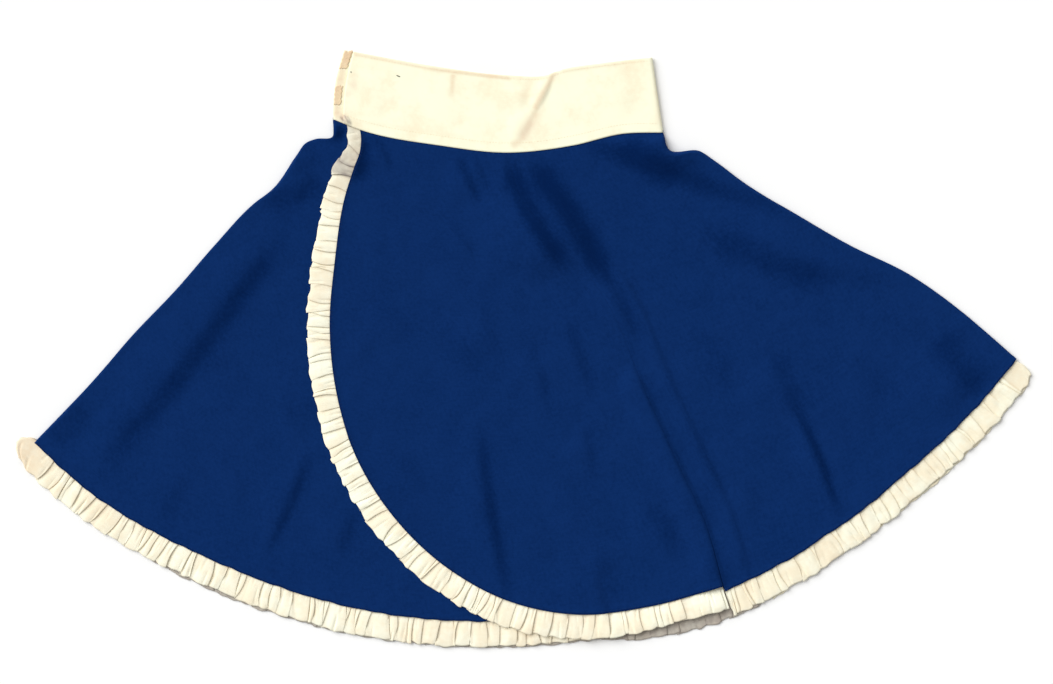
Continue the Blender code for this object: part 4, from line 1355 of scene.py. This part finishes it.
# %% Ruffle on the rounded edge
Width = namedtuple("Width", "along width")
Grey = namedtuple("Grey", "along amount")
RUFFLE_HEIGHTS = (0.00125, 0.0021)
START_HEIGHT = 0.25
OVER_RISE_FROM = 0.630
OVER_RISE_REACH = 0.022
OVER_LIES = 0.0008
OVER_BELOW_HEM = 0.0016
over_length = curve_length(OVER_EDGE_LINE)
OVER_WIDTHS = (
    Width(0.0, 0.0115),
    Width(0.0140, 0.0140),
    Width(0.0300, 0.0135),
    Width(0.0420, 0.0172),
    Width(0.0580, 0.0195),
    Width(0.0980, 0.0205),
    Width(0.1540, 0.0225),
    Width(0.3040, 0.0230),
    Width(0.5040, 0.0250),
    Width(over_length - 0.200, 0.0255),
    Width(over_length - 0.110, 0.0240),
    Width(over_length - 0.060, 0.0215),
    Width(over_length, 0.0228),
)
# Painted shade at the strip's start, where it twists out from under the band, strongest along its curved
# fold.
OVER_START_SHADE = (
    Grey(0.0, 0.60),
    Grey(0.0140, 0.36),
    Grey(0.0320, 0.34),
    Grey(0.0410, 0.66),
    Grey(0.0590, 0.78),
    Grey(0.0640, 0.16),
    Grey(0.0940, 0.0),
    Grey(2.0, 0.0),
)
OVER_FIRST = (
    Placed(0.0385, -0.0125, 1.00, HELD_ALONG),
    Placed(0.0485, -0.0010, 0.90, HELD_ALONG),
    Placed(0.0595, 0.0035, 0.90, HELD_ALONG),
    Placed(0.0765, -0.0030, 0.80, HELD_ALONG),
    Placed(0.0875, -0.0020, 0.80, HELD_ALONG),
    Placed(0.0955, 0.0010, 0.60, 0.25),
    Placed(0.1025, -0.0010, 0.80, HELD_ALONG),
    Placed(0.1105, 0.0005, 0.80, HELD_ALONG),
    Placed(0.1265, 0.0020, 0.70, 0.40),
    Placed(0.1365, -0.0010, 0.90, HELD_ALONG),
)
OVER_STRETCHES = (Stretch(0.400, 0.0098, 0.62), Stretch(2.0, 0.0108, 0.68))
OVER_LAST = (
    Placed(0.0870, 0.0, 0.80, HELD_ALONG),
    Placed(0.0725, 0.0, 0.70, HELD_ALONG),
    Placed(0.0660, 0.0, 0.60, 0.60),
    Placed(0.0570, 0.0, 0.80, HELD_ALONG),
    Placed(0.0450, 0.0, 0.80, HELD_ALONG),
    Placed(0.0046, 0.0006, 1.00, HELD_ALONG),
    Placed(0.0, 0.0010, 0.30, HELD_ALONG),
)


def over_path(along, v):
    """The rounded edge: outward is to its right, and the strip's edge rests on what lies below."""
    t = along / over_length
    centre = OVER_EDGE_LINE(t)
    out = -side_of(OVER_EDGE_LINE, t)
    outer_place = centre + out * wide(read_between(OVER_WIDTHS, along))
    rise = smooth((length_of(outer_place - CUT_CENTRE) - OVER_RISE_FROM) / OVER_RISE_REACH)
    outer = mix(under_height(outer_place) + OVER_LIES, FRONT_ON_UNDER_HEM - OVER_BELOW_HEM, rise)
    inner = np.minimum(front_height(centre), front_height(centre - out * UNDER_HEM_REACH)) - SEAM_DROP
    return centre, out, flat_directions(out), inner, outer


over_tucks = mark_tucks(over_length, OVER_STRETCHES, 21, OVER_FIRST, OVER_LAST)
over_tucks[0] = over_tucks[0]._replace(height=START_HEIGHT, opens=HELD_ALONG)
over_strip, over_marks = tucked_strip(
    over_tucks, over_path, OVER_WIDTHS, RUFFLE_HEIGHTS, 22, grey=OVER_START_SHADE
)
ruffle_over = shell(
    "over_ruffle_cloth", over_strip, RUFFLE_WALL, RUFFLE_CLOTH, ["ruffle_over"], over_marks
)
print("over strip:", len(over_tucks) - 1, "tucks,", round(over_length, 3), "m")

# %% Ruffles on the folded gores and on the back
HEM_WIDTHS = (Width(0.0, 0.0255), Width(2.0, 0.0255))
LOW_HEIGHTS = (0.0007, 0.00115)
CORNER_CLEAR = 0.012
CORNER_CUT = 0.0040
CORNER_TAN_REACH = 0.040
# base and corner add tan; the last value scales the strip's painted shade.
AgeingAndShade = namedtuple("AgeingAndShade", "base corner grey")
LEFT_AGEING_AND_SHADE = AgeingAndShade(0.05, 0.36, 1.0)
RIGHT_AGEING_AND_SHADE = AgeingAndShade(0.0, 0.16, 0.45)
BACK_RUFFLE_SHADE = 0.80


def folded_strip(name, upper, lower, outward, height, spacing, node, seed, bulge, from_fold):
    """A strip that runs along the upper hem, round the side fold and along the lower hem.

    from_fold turns the whole run round, so that the tucks on the upper hem face away from the fold.
    """
    path, length, (on_top, turn) = folded_path(
        lambda t: upper(np.asarray(t, float), np.ones(np.shape(t))),
        lambda t: lower(1.0 - np.asarray(t, float), np.ones(np.shape(t))),
        outward,
        height,
        bulge,
    )
    hidden = Stretch(2.0, 0.016, 0.4)
    stretches = (Stretch(on_top, spacing, 0.70), hidden)
    if from_fold:
        stretches = (hidden._replace(end=length - on_top), Stretch(2.0, spacing, 0.70))
    low, high = on_top - CORNER_CLEAR, on_top + turn + CORNER_CLEAR
    if from_fold:
        low, high = length - high, length - low
    tucks = [tuck for tuck in mark_tucks(length, stretches, seed) if not low < tuck.place < high]
    lifted = {}

    def flat_path(along, v):
        parts, lifted["height"] = path(length - along if from_fold else along, v)
        return parts

    fold = (low + high) / 2
    full, short = HEM_WIDTHS[0].width, HEM_WIDTHS[0].width - CORNER_CUT
    widths = (
        Width(0.0, full),
        Width(fold - CORNER_CLEAR, full),
        Width(fold - turn / 2, short),
        Width(fold + turn / 2, short),
        Width(fold + CORNER_CLEAR + turn / 2, full),
        Width(2.0, full),
    )
    grid, marks = tucked_strip(tucks, flat_path, widths, RUFFLE_HEIGHTS, seed + 1)
    grid[..., 2] += lifted["height"]
    near_corner = smooth(1.0 - length_of(grid[..., :2] - grid_corner(upper)) / CORNER_TAN_REACH)
    ageing_and_shade = LEFT_AGEING_AND_SHADE if from_fold else RIGHT_AGEING_AND_SHADE
    marks["aged"] = np.clip(marks["aged"] + ageing_and_shade.base + ageing_and_shade.corner * near_corner, 0.0, 1.0)
    # Less painted shade near the corner, scaled for each strip.
    marks["painted_shade"] = marks["painted_shade"] * (1.0 - 0.7 * near_corner) * ageing_and_shade.grey
    piece = shell(name, grid, RUFFLE_WALL, RUFFLE_CLOTH, [node], marks)
    print(name, len(tucks) - 1, "tucks,", round(length, 3), "m")
    return piece, grid


def grid_corner(upper):
    """The outer corner of a strip at a side fold, towards which the strip is coloured tan."""
    corner = upper(1.0, 1.0)
    out = corner - CUT_CENTRE
    return corner + out / length_of(out) * RUFFLE_WIDTH * 0.6


ruffle_right, right_strip = folded_strip(
    "right_ruffle_cloth",
    RIGHT_UPPER,
    RIGHT_LOWER,
    RIGHT_OUTWARD,
    front_height,
    0.0108,
    "ruffle_right",
    31,
    0.0,
    False,
)
ruffle_left, left_strip = folded_strip(
    "left_ruffle_cloth",
    LEFT_UPPER,
    LEFT_LOWER,
    LEFT_OUTWARD,
    under_height,
    0.0112,
    "ruffle_left",
    41,
    0.0150,
    True,
)


def back_path(along, v):
    """The back gore's hem, whose face is down."""
    places = back_hem(along / back_length)
    out = places - CUT_CENTRE
    out = out / wide(length_of(out))
    shape = out.shape[:-1]
    inner = np.full(shape, -BACK_RUFFLE_TOP[0])
    outer = np.full(shape, -BACK_RUFFLE_TOP[1])
    return places, out, -flat_directions(out), inner, outer


def back_hem(t):
    """The back gore's hem, from the right seam to the left one."""
    return BACK_PANEL(np.asarray(t, float), np.ones(np.shape(t)))


BACK_WIDTHS = (
    Width(0.0, 0.0255),
    Width(0.025, 0.0265),
    Width(0.070, 0.0285),
    Width(0.130, 0.0300),
    Width(0.170, 0.0260),
    Width(2.0, 0.0255),
)
back_length = curve_length(back_hem)
back_tucks = mark_tucks(back_length, (Stretch(0.16, 0.011, 0.5), Stretch(2.0, 0.018, 0.4)), 51)
back_strip, back_marks = tucked_strip(
    back_tucks, back_path, BACK_WIDTHS, LOW_HEIGHTS, 52, column_step=HIDDEN_COLUMN_STEP
)
# Painted shade: the back strip lies lowest, under the other layers.
back_marks["painted_shade"] = np.maximum(back_marks["painted_shade"], BACK_RUFFLE_SHADE)
ruffle_back = shell(
    "back_ruffle_cloth", back_strip, RUFFLE_WALL, RUFFLE_CLOTH, ["ruffle_back"], back_marks
)
print("back strip:", len(back_tucks) - 1, "tucks")

# %% [markdown]
# ## The waistband
#
# One doubled strip goes round the waist: from its hidden end under the wrap, round the left fold, along
# the back, round the right fold and back over the front to its open end at the left. A single grid
# follows that whole way. A sharp diagonal crease crosses its front, and its stains are marks on the
# mesh: a yellow line along the top edge, short drips under it and pinkish spots at the left end.

# %% Band
BAND_WALL = 0.0010
BAND_STEP = 0.0016
BAND_ROWS = 48
BAND_END_LOWER = 0.0110
BAND_END_UPPER = 0.0100
BAND_HIDDEN_END = 0.40
LEFT_BULGE = 0.0038
LEFT_BULGE_REACH = 0.12
BAND_TALL = 0.076
BAND_UNEVEN = 0.00022
BAND_CREASES = (
    Crease(0.0325, 0.2790, 0.0080, 0.2280, 0.002, 0.0045, 0.0017),
    Crease(0.0130, 0.2380, -0.0075, 0.2030, 0.001, 0.0075, 0.0011),
    Crease(0.0060, 0.2660, -0.0010, 0.2330, 0.000, 0.012, 0.0005),
    Crease(-0.1835, 0.2310, -0.1790, 0.2250, 0.000, 0.0030, 0.0016),
    Crease(-0.1790, 0.2315, -0.1745, 0.2245, 0.000, 0.0030, 0.0018),
    Crease(-0.1745, 0.2300, -0.1715, 0.2235, 0.000, 0.0030, 0.0015),
    Crease(0.0950, 0.2850, 0.1060, 0.2180, 0.000, 0.020, 0.0006),
    Crease(-0.1450, 0.2850, -0.1400, 0.2200, 0.000, 0.016, 0.0005),
    Crease(-0.0700, 0.2700, -0.0650, 0.2100, 0.000, 0.018, 0.0004),
)
BandMark = namedtuple("BandMark", "x1 y1 x2 y2 radius strength")
AGED_STAINS = (
    BandMark(-0.1710, 0.2940, -0.0900, 0.2780, 0.0017, 0.42),
    BandMark(-0.0900, 0.2780, -0.0150, 0.2695, 0.0019, 0.62),
    BandMark(-0.0150, 0.2700, 0.0230, 0.2700, 0.0022, 0.20),
    BandMark(0.0400, 0.2765, 0.1200, 0.2872, 0.0022, 0.25),
    BandMark(-0.0705, 0.2710, -0.0715, 0.2560, 0.0026, 0.50),
    BandMark(-0.0720, 0.2560, -0.0720, 0.2540, 0.0040, 0.30),
    BandMark(0.0045, 0.2650, -0.0010, 0.2470, 0.0040, 0.20),
    BandMark(0.0305, 0.2740, 0.0120, 0.2400, 0.0030, 0.55),
    BandMark(0.0120, 0.2330, 0.0000, 0.2130, 0.0065, 0.42),
    BandMark(0.0000, 0.2100, -0.0090, 0.2030, 0.0040, 0.45),
    BandMark(-0.1690, 0.2720, -0.1700, 0.2600, 0.0050, 0.22),
    BandMark(-0.1795, 0.2950, -0.1875, 0.2350, 0.0055, 0.50),
    BandMark(-0.1860, 0.2500, -0.1870, 0.2350, 0.0060, 0.25),
    BandMark(-0.1330, 0.2450, -0.1290, 0.2440, 0.0045, 0.14),
    BandMark(-0.0640, 0.2270, -0.0630, 0.2265, 0.0050, 0.16),
    BandMark(-0.1650, 0.2260, -0.0600, 0.2100, 0.0025, 0.10),
    BandMark(0.1030, 0.2850, 0.1050, 0.2400, 0.0080, 0.10),
    BandMark(0.1330, 0.2750, 0.1350, 0.2250, 0.0040, 0.22),
    BandMark(-0.1880, 0.2330, -0.1680, 0.2230, 0.0060, 0.28),
)
BLUSH_STAINS = (
    BandMark(-0.1705, 0.2630, -0.1695, 0.2625, 0.0035, 0.20),
    BandMark(-0.1760, 0.2540, -0.1750, 0.2535, 0.0038, 0.22),
    BandMark(-0.1850, 0.2340, -0.1800, 0.2300, 0.0040, 0.24),
    BandMark(0.0060, 0.2230, 0.0000, 0.2130, 0.0060, 0.18),
)
# Painted shade along the three small crumple creases at the band's lower left, and a faint grey spot at its
# top left corner.
BAND_SHADE_MARKS = (
    BandMark(-0.1820, 0.2300, -0.1790, 0.2265, 0.0016, 0.75),
    BandMark(-0.1785, 0.2310, -0.1745, 0.2250, 0.0013, 0.75),
    BandMark(-0.1750, 0.2300, -0.1725, 0.2235, 0.0011, 0.55),
    BandMark(-0.1790, 0.2960, -0.1770, 0.2950, 0.0020, 0.10),
)


def stain_and_shade_marks(places, table):
    """How strongly a table's rows mark each place: stains for the yellow and pink tables, mostly painted
    shade for the grey one.
    """
    total = np.zeros(places.shape[:-1])
    for tint in table:
        line = np.array(((tint.x1, tint.y1), (tint.x2, tint.y2))) - MIDDLE_OF_SKIRT
        reach = along_line(places, line)[0] / tint.radius
        total = np.maximum(total, tint.strength * np.exp(-reach * reach))
    return total


def on_band(t, row):
    """Places on the band: t runs from its left fold to its right one, row from waist to top."""
    t, row = np.asarray(t, float), np.asarray(row, float)
    bulge = LEFT_BULGE * np.sin(np.pi * row) * smooth(1.0 - t / LEFT_BULGE_REACH)
    return mix(WAIST(t), BAND_UPPER(t), wide(row)) - wide(bulge) * np.array((1.0, 0.0))


def band_layer(start, end, height):
    """One layer of the band, between values of t for its lower and its upper edge."""
    row = np.linspace(0.0, 1.0, BAND_ROWS + 1)
    count = int(abs(end[0] - start[0]) * band_length / BAND_STEP)
    part, row = np.meshgrid(np.linspace(0.0, 1.0, count + 1), row, indexing="ij")
    t = mix(mix(start[0], start[1], row), mix(end[0], end[1], row), part)
    places = on_band(t, row)
    return np.concatenate((places, wide(height(places))), axis=-1)


def flat_at(height):
    """A layer that lies flat at one height."""
    return lambda places: np.full(places.shape[:-1], height)


def band_turn(t, sign, low, high):
    """The turn of the band at a fold, from its upper layer to its lower one."""
    row = np.linspace(0.0, 1.0, BAND_ROWS + 1)
    edge = on_band(np.full(row.shape, t), row)
    run = edge[-1] - edge[0]
    out = np.array((run[1], -run[0])) / length_of(run) * sign
    middle, radius = (low + high) / 2, (high - low) / 2
    turns = []
    for turn in np.linspace(0.5, -0.5, TURN_STEPS + 1)[1:-1] * np.pi:
        flat = edge + out * (radius * np.cos(turn))
        turns.append(np.concatenate((flat, np.full((len(row), 1), middle + radius * np.sin(turn))), axis=-1))
    return np.array(turns)


def front_band_height(places):
    """The band's front: its creases and faint waves."""
    return BAND_HEIGHTS[2] + folds(places, BAND_CREASES) + np.abs(unevenness(places, BAND_UNEVEN))


band_length = curve_length(WAIST)
low, middle, high = BAND_HEIGHTS
left_turn = ((middle - low) / 2 + BAND_WALL / 2) / band_length
right_turn = 1.0 - ((high - low) / 2 + BAND_WALL / 2) / band_length
open_end = (BAND_END_LOWER / band_length, BAND_END_UPPER / band_length)
band_grid = np.concatenate(
    (
        band_layer((BAND_HIDDEN_END,) * 2, (left_turn,) * 2, flat_at(middle)),
        band_turn(left_turn, -1.0, low, middle),
        band_layer((left_turn,) * 2, (right_turn,) * 2, flat_at(low)),
        band_turn(right_turn, 1.0, low, high)[::-1],
        band_layer((right_turn,) * 2, open_end, front_band_height),
    )
)
band_marks = {
    "aged": stain_and_shade_marks(band_grid[..., :2], AGED_STAINS),
    "blush": stain_and_shade_marks(band_grid[..., :2], BLUSH_STAINS),
    "painted_shade": stain_and_shade_marks(band_grid[..., :2], BAND_SHADE_MARKS),
}
waistband = shell(
    "waistband_cloth", band_grid, BAND_WALL, BAND_CLOTH, ["waistband"], band_marks
)
print("band:", band_grid.shape, "points, once round", round(2 * band_length, 3), "m")

# %% [markdown]
# ## Closure tape
#
# Two short stretches of discoloured tape show on the band's left fold, beside its open end: what is left
# of the closure. They are thin woven strips with uneven ends.

# %% Tapes
TAPE_WALL = 0.00035
TAPE_BASE = BAND_HEIGHTS[1] + BAND_WALL / 2 + 0.00030
Tab = namedtuple("Tab", "name node start end shift width")
TABS = (
    Tab("upper_tape_cloth", "closure_tape_upper", 0.02, 0.26, 0.0008, 0.0078),
    Tab("lower_tape_cloth", "closure_tape_lower", 0.52, 0.79, 0.0008, 0.0070),
)
TAPE_COLUMNS = 9
TAPE_ROWS = 22
TAPE_FRAY = 0.018
TAPE_SPAN = 0.070

tapes = []
for seed, tab in enumerate(TABS):
    frays = random.Random(60 + seed)
    parts, rows = np.linspace(0.0, 1.0, TAPE_COLUMNS), np.linspace(0.0, 1.0, TAPE_ROWS)
    part, row = np.meshgrid(parts, rows, indexing="ij")
    ends = np.array([[frays.uniform(-TAPE_FRAY, TAPE_FRAY) for _ in range(2)] for _ in range(TAPE_COLUMNS)])
    down = mix(tab.start + ends[:, :1], tab.end + ends[:, 1:], row)
    edge = on_band(np.zeros(down.shape), 1.0 - down)
    uneven = 0.0004 * np.sin(row * 23.0 + seed)
    tape_places = edge + wide(tab.shift + part * tab.width + uneven) * np.array((1.0, 0.0))
    tape_height = TAPE_BASE + 0.00012 * np.sin(row * 31.0) * np.sin(part * 7.0)
    tape_grid = np.concatenate((tape_places, wide(tape_height)), axis=-1)
    edge_age = 0.35 * smooth(np.abs(row - 0.5) * 2.0 - 0.6) + 0.12 * np.sin(row * 40.0 + part * 9.0) ** 2
    tape_marks = {"aged": edge_age, "painted_shade": NO_MARK, "blush": NO_MARK}
    tapes.append(shell(tab.name, tape_grid, TAPE_WALL, TAPE_CLOTH, [tab.node], tape_marks))
    print(tab.name, round((tab.end - tab.start) * TAPE_SPAN * 1000), "mm long")

# %% [markdown]
# ## Sewing
#
# A row of stitches is a row of short bars of thread that dip into the cloth at both ends. They all go
# into one mesh for each row, because a thousand separate objects would be slow, and each bar follows
# the cloth's own height, which a ray cast straight down on the finished shell gives. Two loose ends of
# dark thread lie on the band; each is one longer and thicker bar from the same helper.

# %% Stitches
STITCH_PITCH = 0.0030
STITCH_LENGTH = 0.0021
THREAD_RADIUS = 0.00017
STITCH_RINGS = ((0.0, 0.35, -0.00012), (0.25, 1.0, 0.00010), (0.75, 1.0, 0.00010), (1.0, 0.35, -0.00012))
STITCH_SIDES = 5
STITCH_UNEVEN = 0.0002
HEM_STITCH_INSET = 0.0022


def top_of(cloth, place):
    """Height of a shell's upper face at a place."""
    hit, point, _, _ = cloth.ray_cast((place[0], place[1], 0.1), (0.0, 0.0, -1.0))
    return point[2] if hit else None


def stitch_row(name, line, cloth, finish, seed, length=STITCH_LENGTH, radius=THREAD_RADIUS):
    """Short bars of thread along a line of places, resting on a cloth."""
    draw = random.Random(seed)
    total = curve_length(line)
    points, faces = [], []
    for k in range(int(total / STITCH_PITCH)):
        first = max(k * STITCH_PITCH + draw.uniform(-STITCH_UNEVEN, STITCH_UNEVEN), 0.0) / total
        last = first + length / total
        if last > 1.0:
            continue
        start, end = line(first), line(last)
        heights = top_of(cloth, start), top_of(cloth, end)
        if None in heights:
            continue
        run = (end - start) / length_of(end - start)
        sideways = np.array((-run[1], run[0], 0.0))
        base = len(points)
        for part, thick, lift in STITCH_RINGS:
            middle_point = np.array((*mix(start, end, part), mix(*heights, part) + lift))
            for side in range(STITCH_SIDES):
                turn = 2.0 * np.pi * side / STITCH_SIDES
                reach = sideways * np.cos(turn) + UP * np.sin(turn)
                points.append(middle_point + reach * radius * thick)
        for ring in range(len(STITCH_RINGS) - 1):
            for side in range(STITCH_SIDES):
                a = base + ring * STITCH_SIDES + side
                b = base + ring * STITCH_SIDES + (side + 1) % STITCH_SIDES
                faces.append((a, b, b + STITCH_SIDES, a + STITCH_SIDES))
        faces.append(tuple(base + side for side in reversed(range(STITCH_SIDES))))
        last_ring = base + (len(STITCH_RINGS) - 1) * STITCH_SIDES
        faces.append(tuple(last_ring + side for side in range(STITCH_SIDES)))
    mesh = bpy.data.meshes.new(name)
    mesh.from_pydata(points, [], faces)
    mesh.shade_smooth()
    mesh.materials.append(finish)
    piece = bpy.data.objects.new(name, mesh)
    bpy.context.scene.collection.objects.link(piece)
    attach(piece, "root")
    print(name, len(faces) // (3 * STITCH_SIDES + 2), "stitches")
    return piece


def band_line(row, start, end):
    """A line along the band's front at a part of its height."""
    return lambda t: on_band(mix(start, end, np.asarray(t, float)), np.full(np.shape(t), row))


def hem_line(panel, inside):
    """A line along a panel's hem, a little inside it."""

    def at(t):
        place = panel(np.asarray(t, float), np.ones(np.shape(t)))
        inward = CUT_CENTRE - place
        return place + inward / wide(length_of(inward)) * inside

    return at


bpy.context.view_layer.update()
BAND_SEAMS = (
    ("band_lower_stitches", band_line(0.125, 0.985, 0.037), 71),
    ("band_upper_stitches", band_line(0.960, 0.985, 0.034), 72),
)
band_stitches = [
    stitch_row(name, line, waistband, CREAM_THREAD, seed) for name, line, seed in BAND_SEAMS
]
Stray = namedtuple("Stray", "start end length")
STRAYS = (
    Stray(Place(-0.1270, 0.2722), Place(-0.1222, 0.2702), 0.0045),
    Stray(Place(-0.1722, 0.2762), Place(-0.1720, 0.2730), 0.0016),
)
STRAY_RADIUS = 0.00050
STRAY_SEED = 80
for k, row in enumerate(STRAYS):
    stray_line = smooth_curve((row.start, tuple(np.mean((row.start, row.end), axis=0)), row.end))
    stray = stitch_row(
        f"loose_thread_{k + 1}",
        stray_line,
        waistband,
        DARK_THREAD,
        STRAY_SEED + k,
        length=row.length,
        radius=STRAY_RADIUS,
    )
    band_stitches.append(stray)
over_stitches = stitch_row(
    "over_hem_stitches", beside(OVER_EDGE_LINE, HEM_STITCH_INSET), front_over, BLUE_THREAD, 73
)
right_stitches = stitch_row(
    "right_hem_stitches", hem_line(RIGHT_UPPER, HEM_STITCH_INSET), side_right, BLUE_THREAD, 74
)
left_stitches = stitch_row(
    "left_hem_stitches", hem_line(LEFT_UPPER, HEM_STITCH_INSET), front_under, BLUE_THREAD, 75
)

# %% [markdown]
# ## How large each piece was cut
#
# The area of each gore's grid is worked out, each ruffle's cut length is found from its area and
# printed, and the band's cut size and each tape's area are worked out as well. The gores are parts of
# a ring.


def declare_gore(grid):
    """Work out a gore's area from its grid; the value is not kept."""
    surface_area(grid)


declare_gore(over_grid)
declare_gore(right_grid)
declare_gore(left_grid)
declare_gore(back_grid)
for piece, grid, on_what in (
    (ruffle_over, over_strip, front_under),
    (ruffle_right, right_strip, ruffle_back),
    (ruffle_left, left_strip, ruffle_back),
    (ruffle_back, back_strip, back),
):
    strip_length = surface_area(grid) / (RUFFLE_WIDTH + UNDER_HEM_REACH)
    print(piece.name, "was cut", round(strip_length, 3), "m long")
band_cut = (surface_area(band_grid) / BAND_TALL, BAND_TALL)
for tape, tab in zip(tapes, TABS):
    tape_length = (tab.end - tab.start) * TAPE_SPAN
    tab.width * tape_length

# %% [markdown]
# ## Light and floor
#
# Soft light comes from the upper left, as the shadows under the ruffle's edges say, and a white world
# fills the rest. A sun lamp with a wide angle is as soft as a large studio panel and lights a skirt a
# metre wide evenly from side to side, which a panel close by would not.

# %% Stage
FLOOR_SIZE = 14.0
KEY_STRENGTH = 2.9
KEY_TOWARDS = (0.80, -0.60, -0.85)
KEY_SOFTNESS = 50.0
FILL_STRENGTH = 0.47
FLOOR_COLOUR = (0.95, 0.95, 0.945, 1.0)
WHITE = (1.0, 1.0, 1.0, 1.0)

floor_mesh = bpy.data.meshes.new("floor")
half = FLOOR_SIZE / 2
floor_corners = [(-half, -half, 0), (half, -half, 0), (half, half, 0), (-half, half, 0)]
floor_mesh.from_pydata(floor_corners, [], [(0, 1, 2, 3)])
floor = bpy.data.objects.new("floor", floor_mesh)
bpy.context.scene.collection.objects.link(floor)
floor_finish, _, floor_shader = new_finish("pale_floor", 0.95, 0.0)
floor_shader["Base Color"].default_value = FLOOR_COLOUR
floor_mesh.materials.append(floor_finish)

key = bpy.data.lights.new("key", "SUN")
key.energy = KEY_STRENGTH
key.angle = np.radians(KEY_SOFTNESS)
key_lamp = bpy.data.objects.new("key", key)
key_lamp.rotation_mode = "QUATERNION"
key_lamp.rotation_quaternion = Vector(KEY_TOWARDS).to_track_quat("-Z", "Y")
bpy.context.scene.collection.objects.link(key_lamp)

world = bpy.data.worlds.new("studio")
world.use_nodes = True
world.node_tree.nodes["Background"].inputs["Strength"].default_value = FILL_STRENGTH
world.node_tree.nodes["Background"].inputs["Color"].default_value = WHITE
bpy.context.scene.world = world
bpy.context.scene.view_settings.view_transform = "Standard"
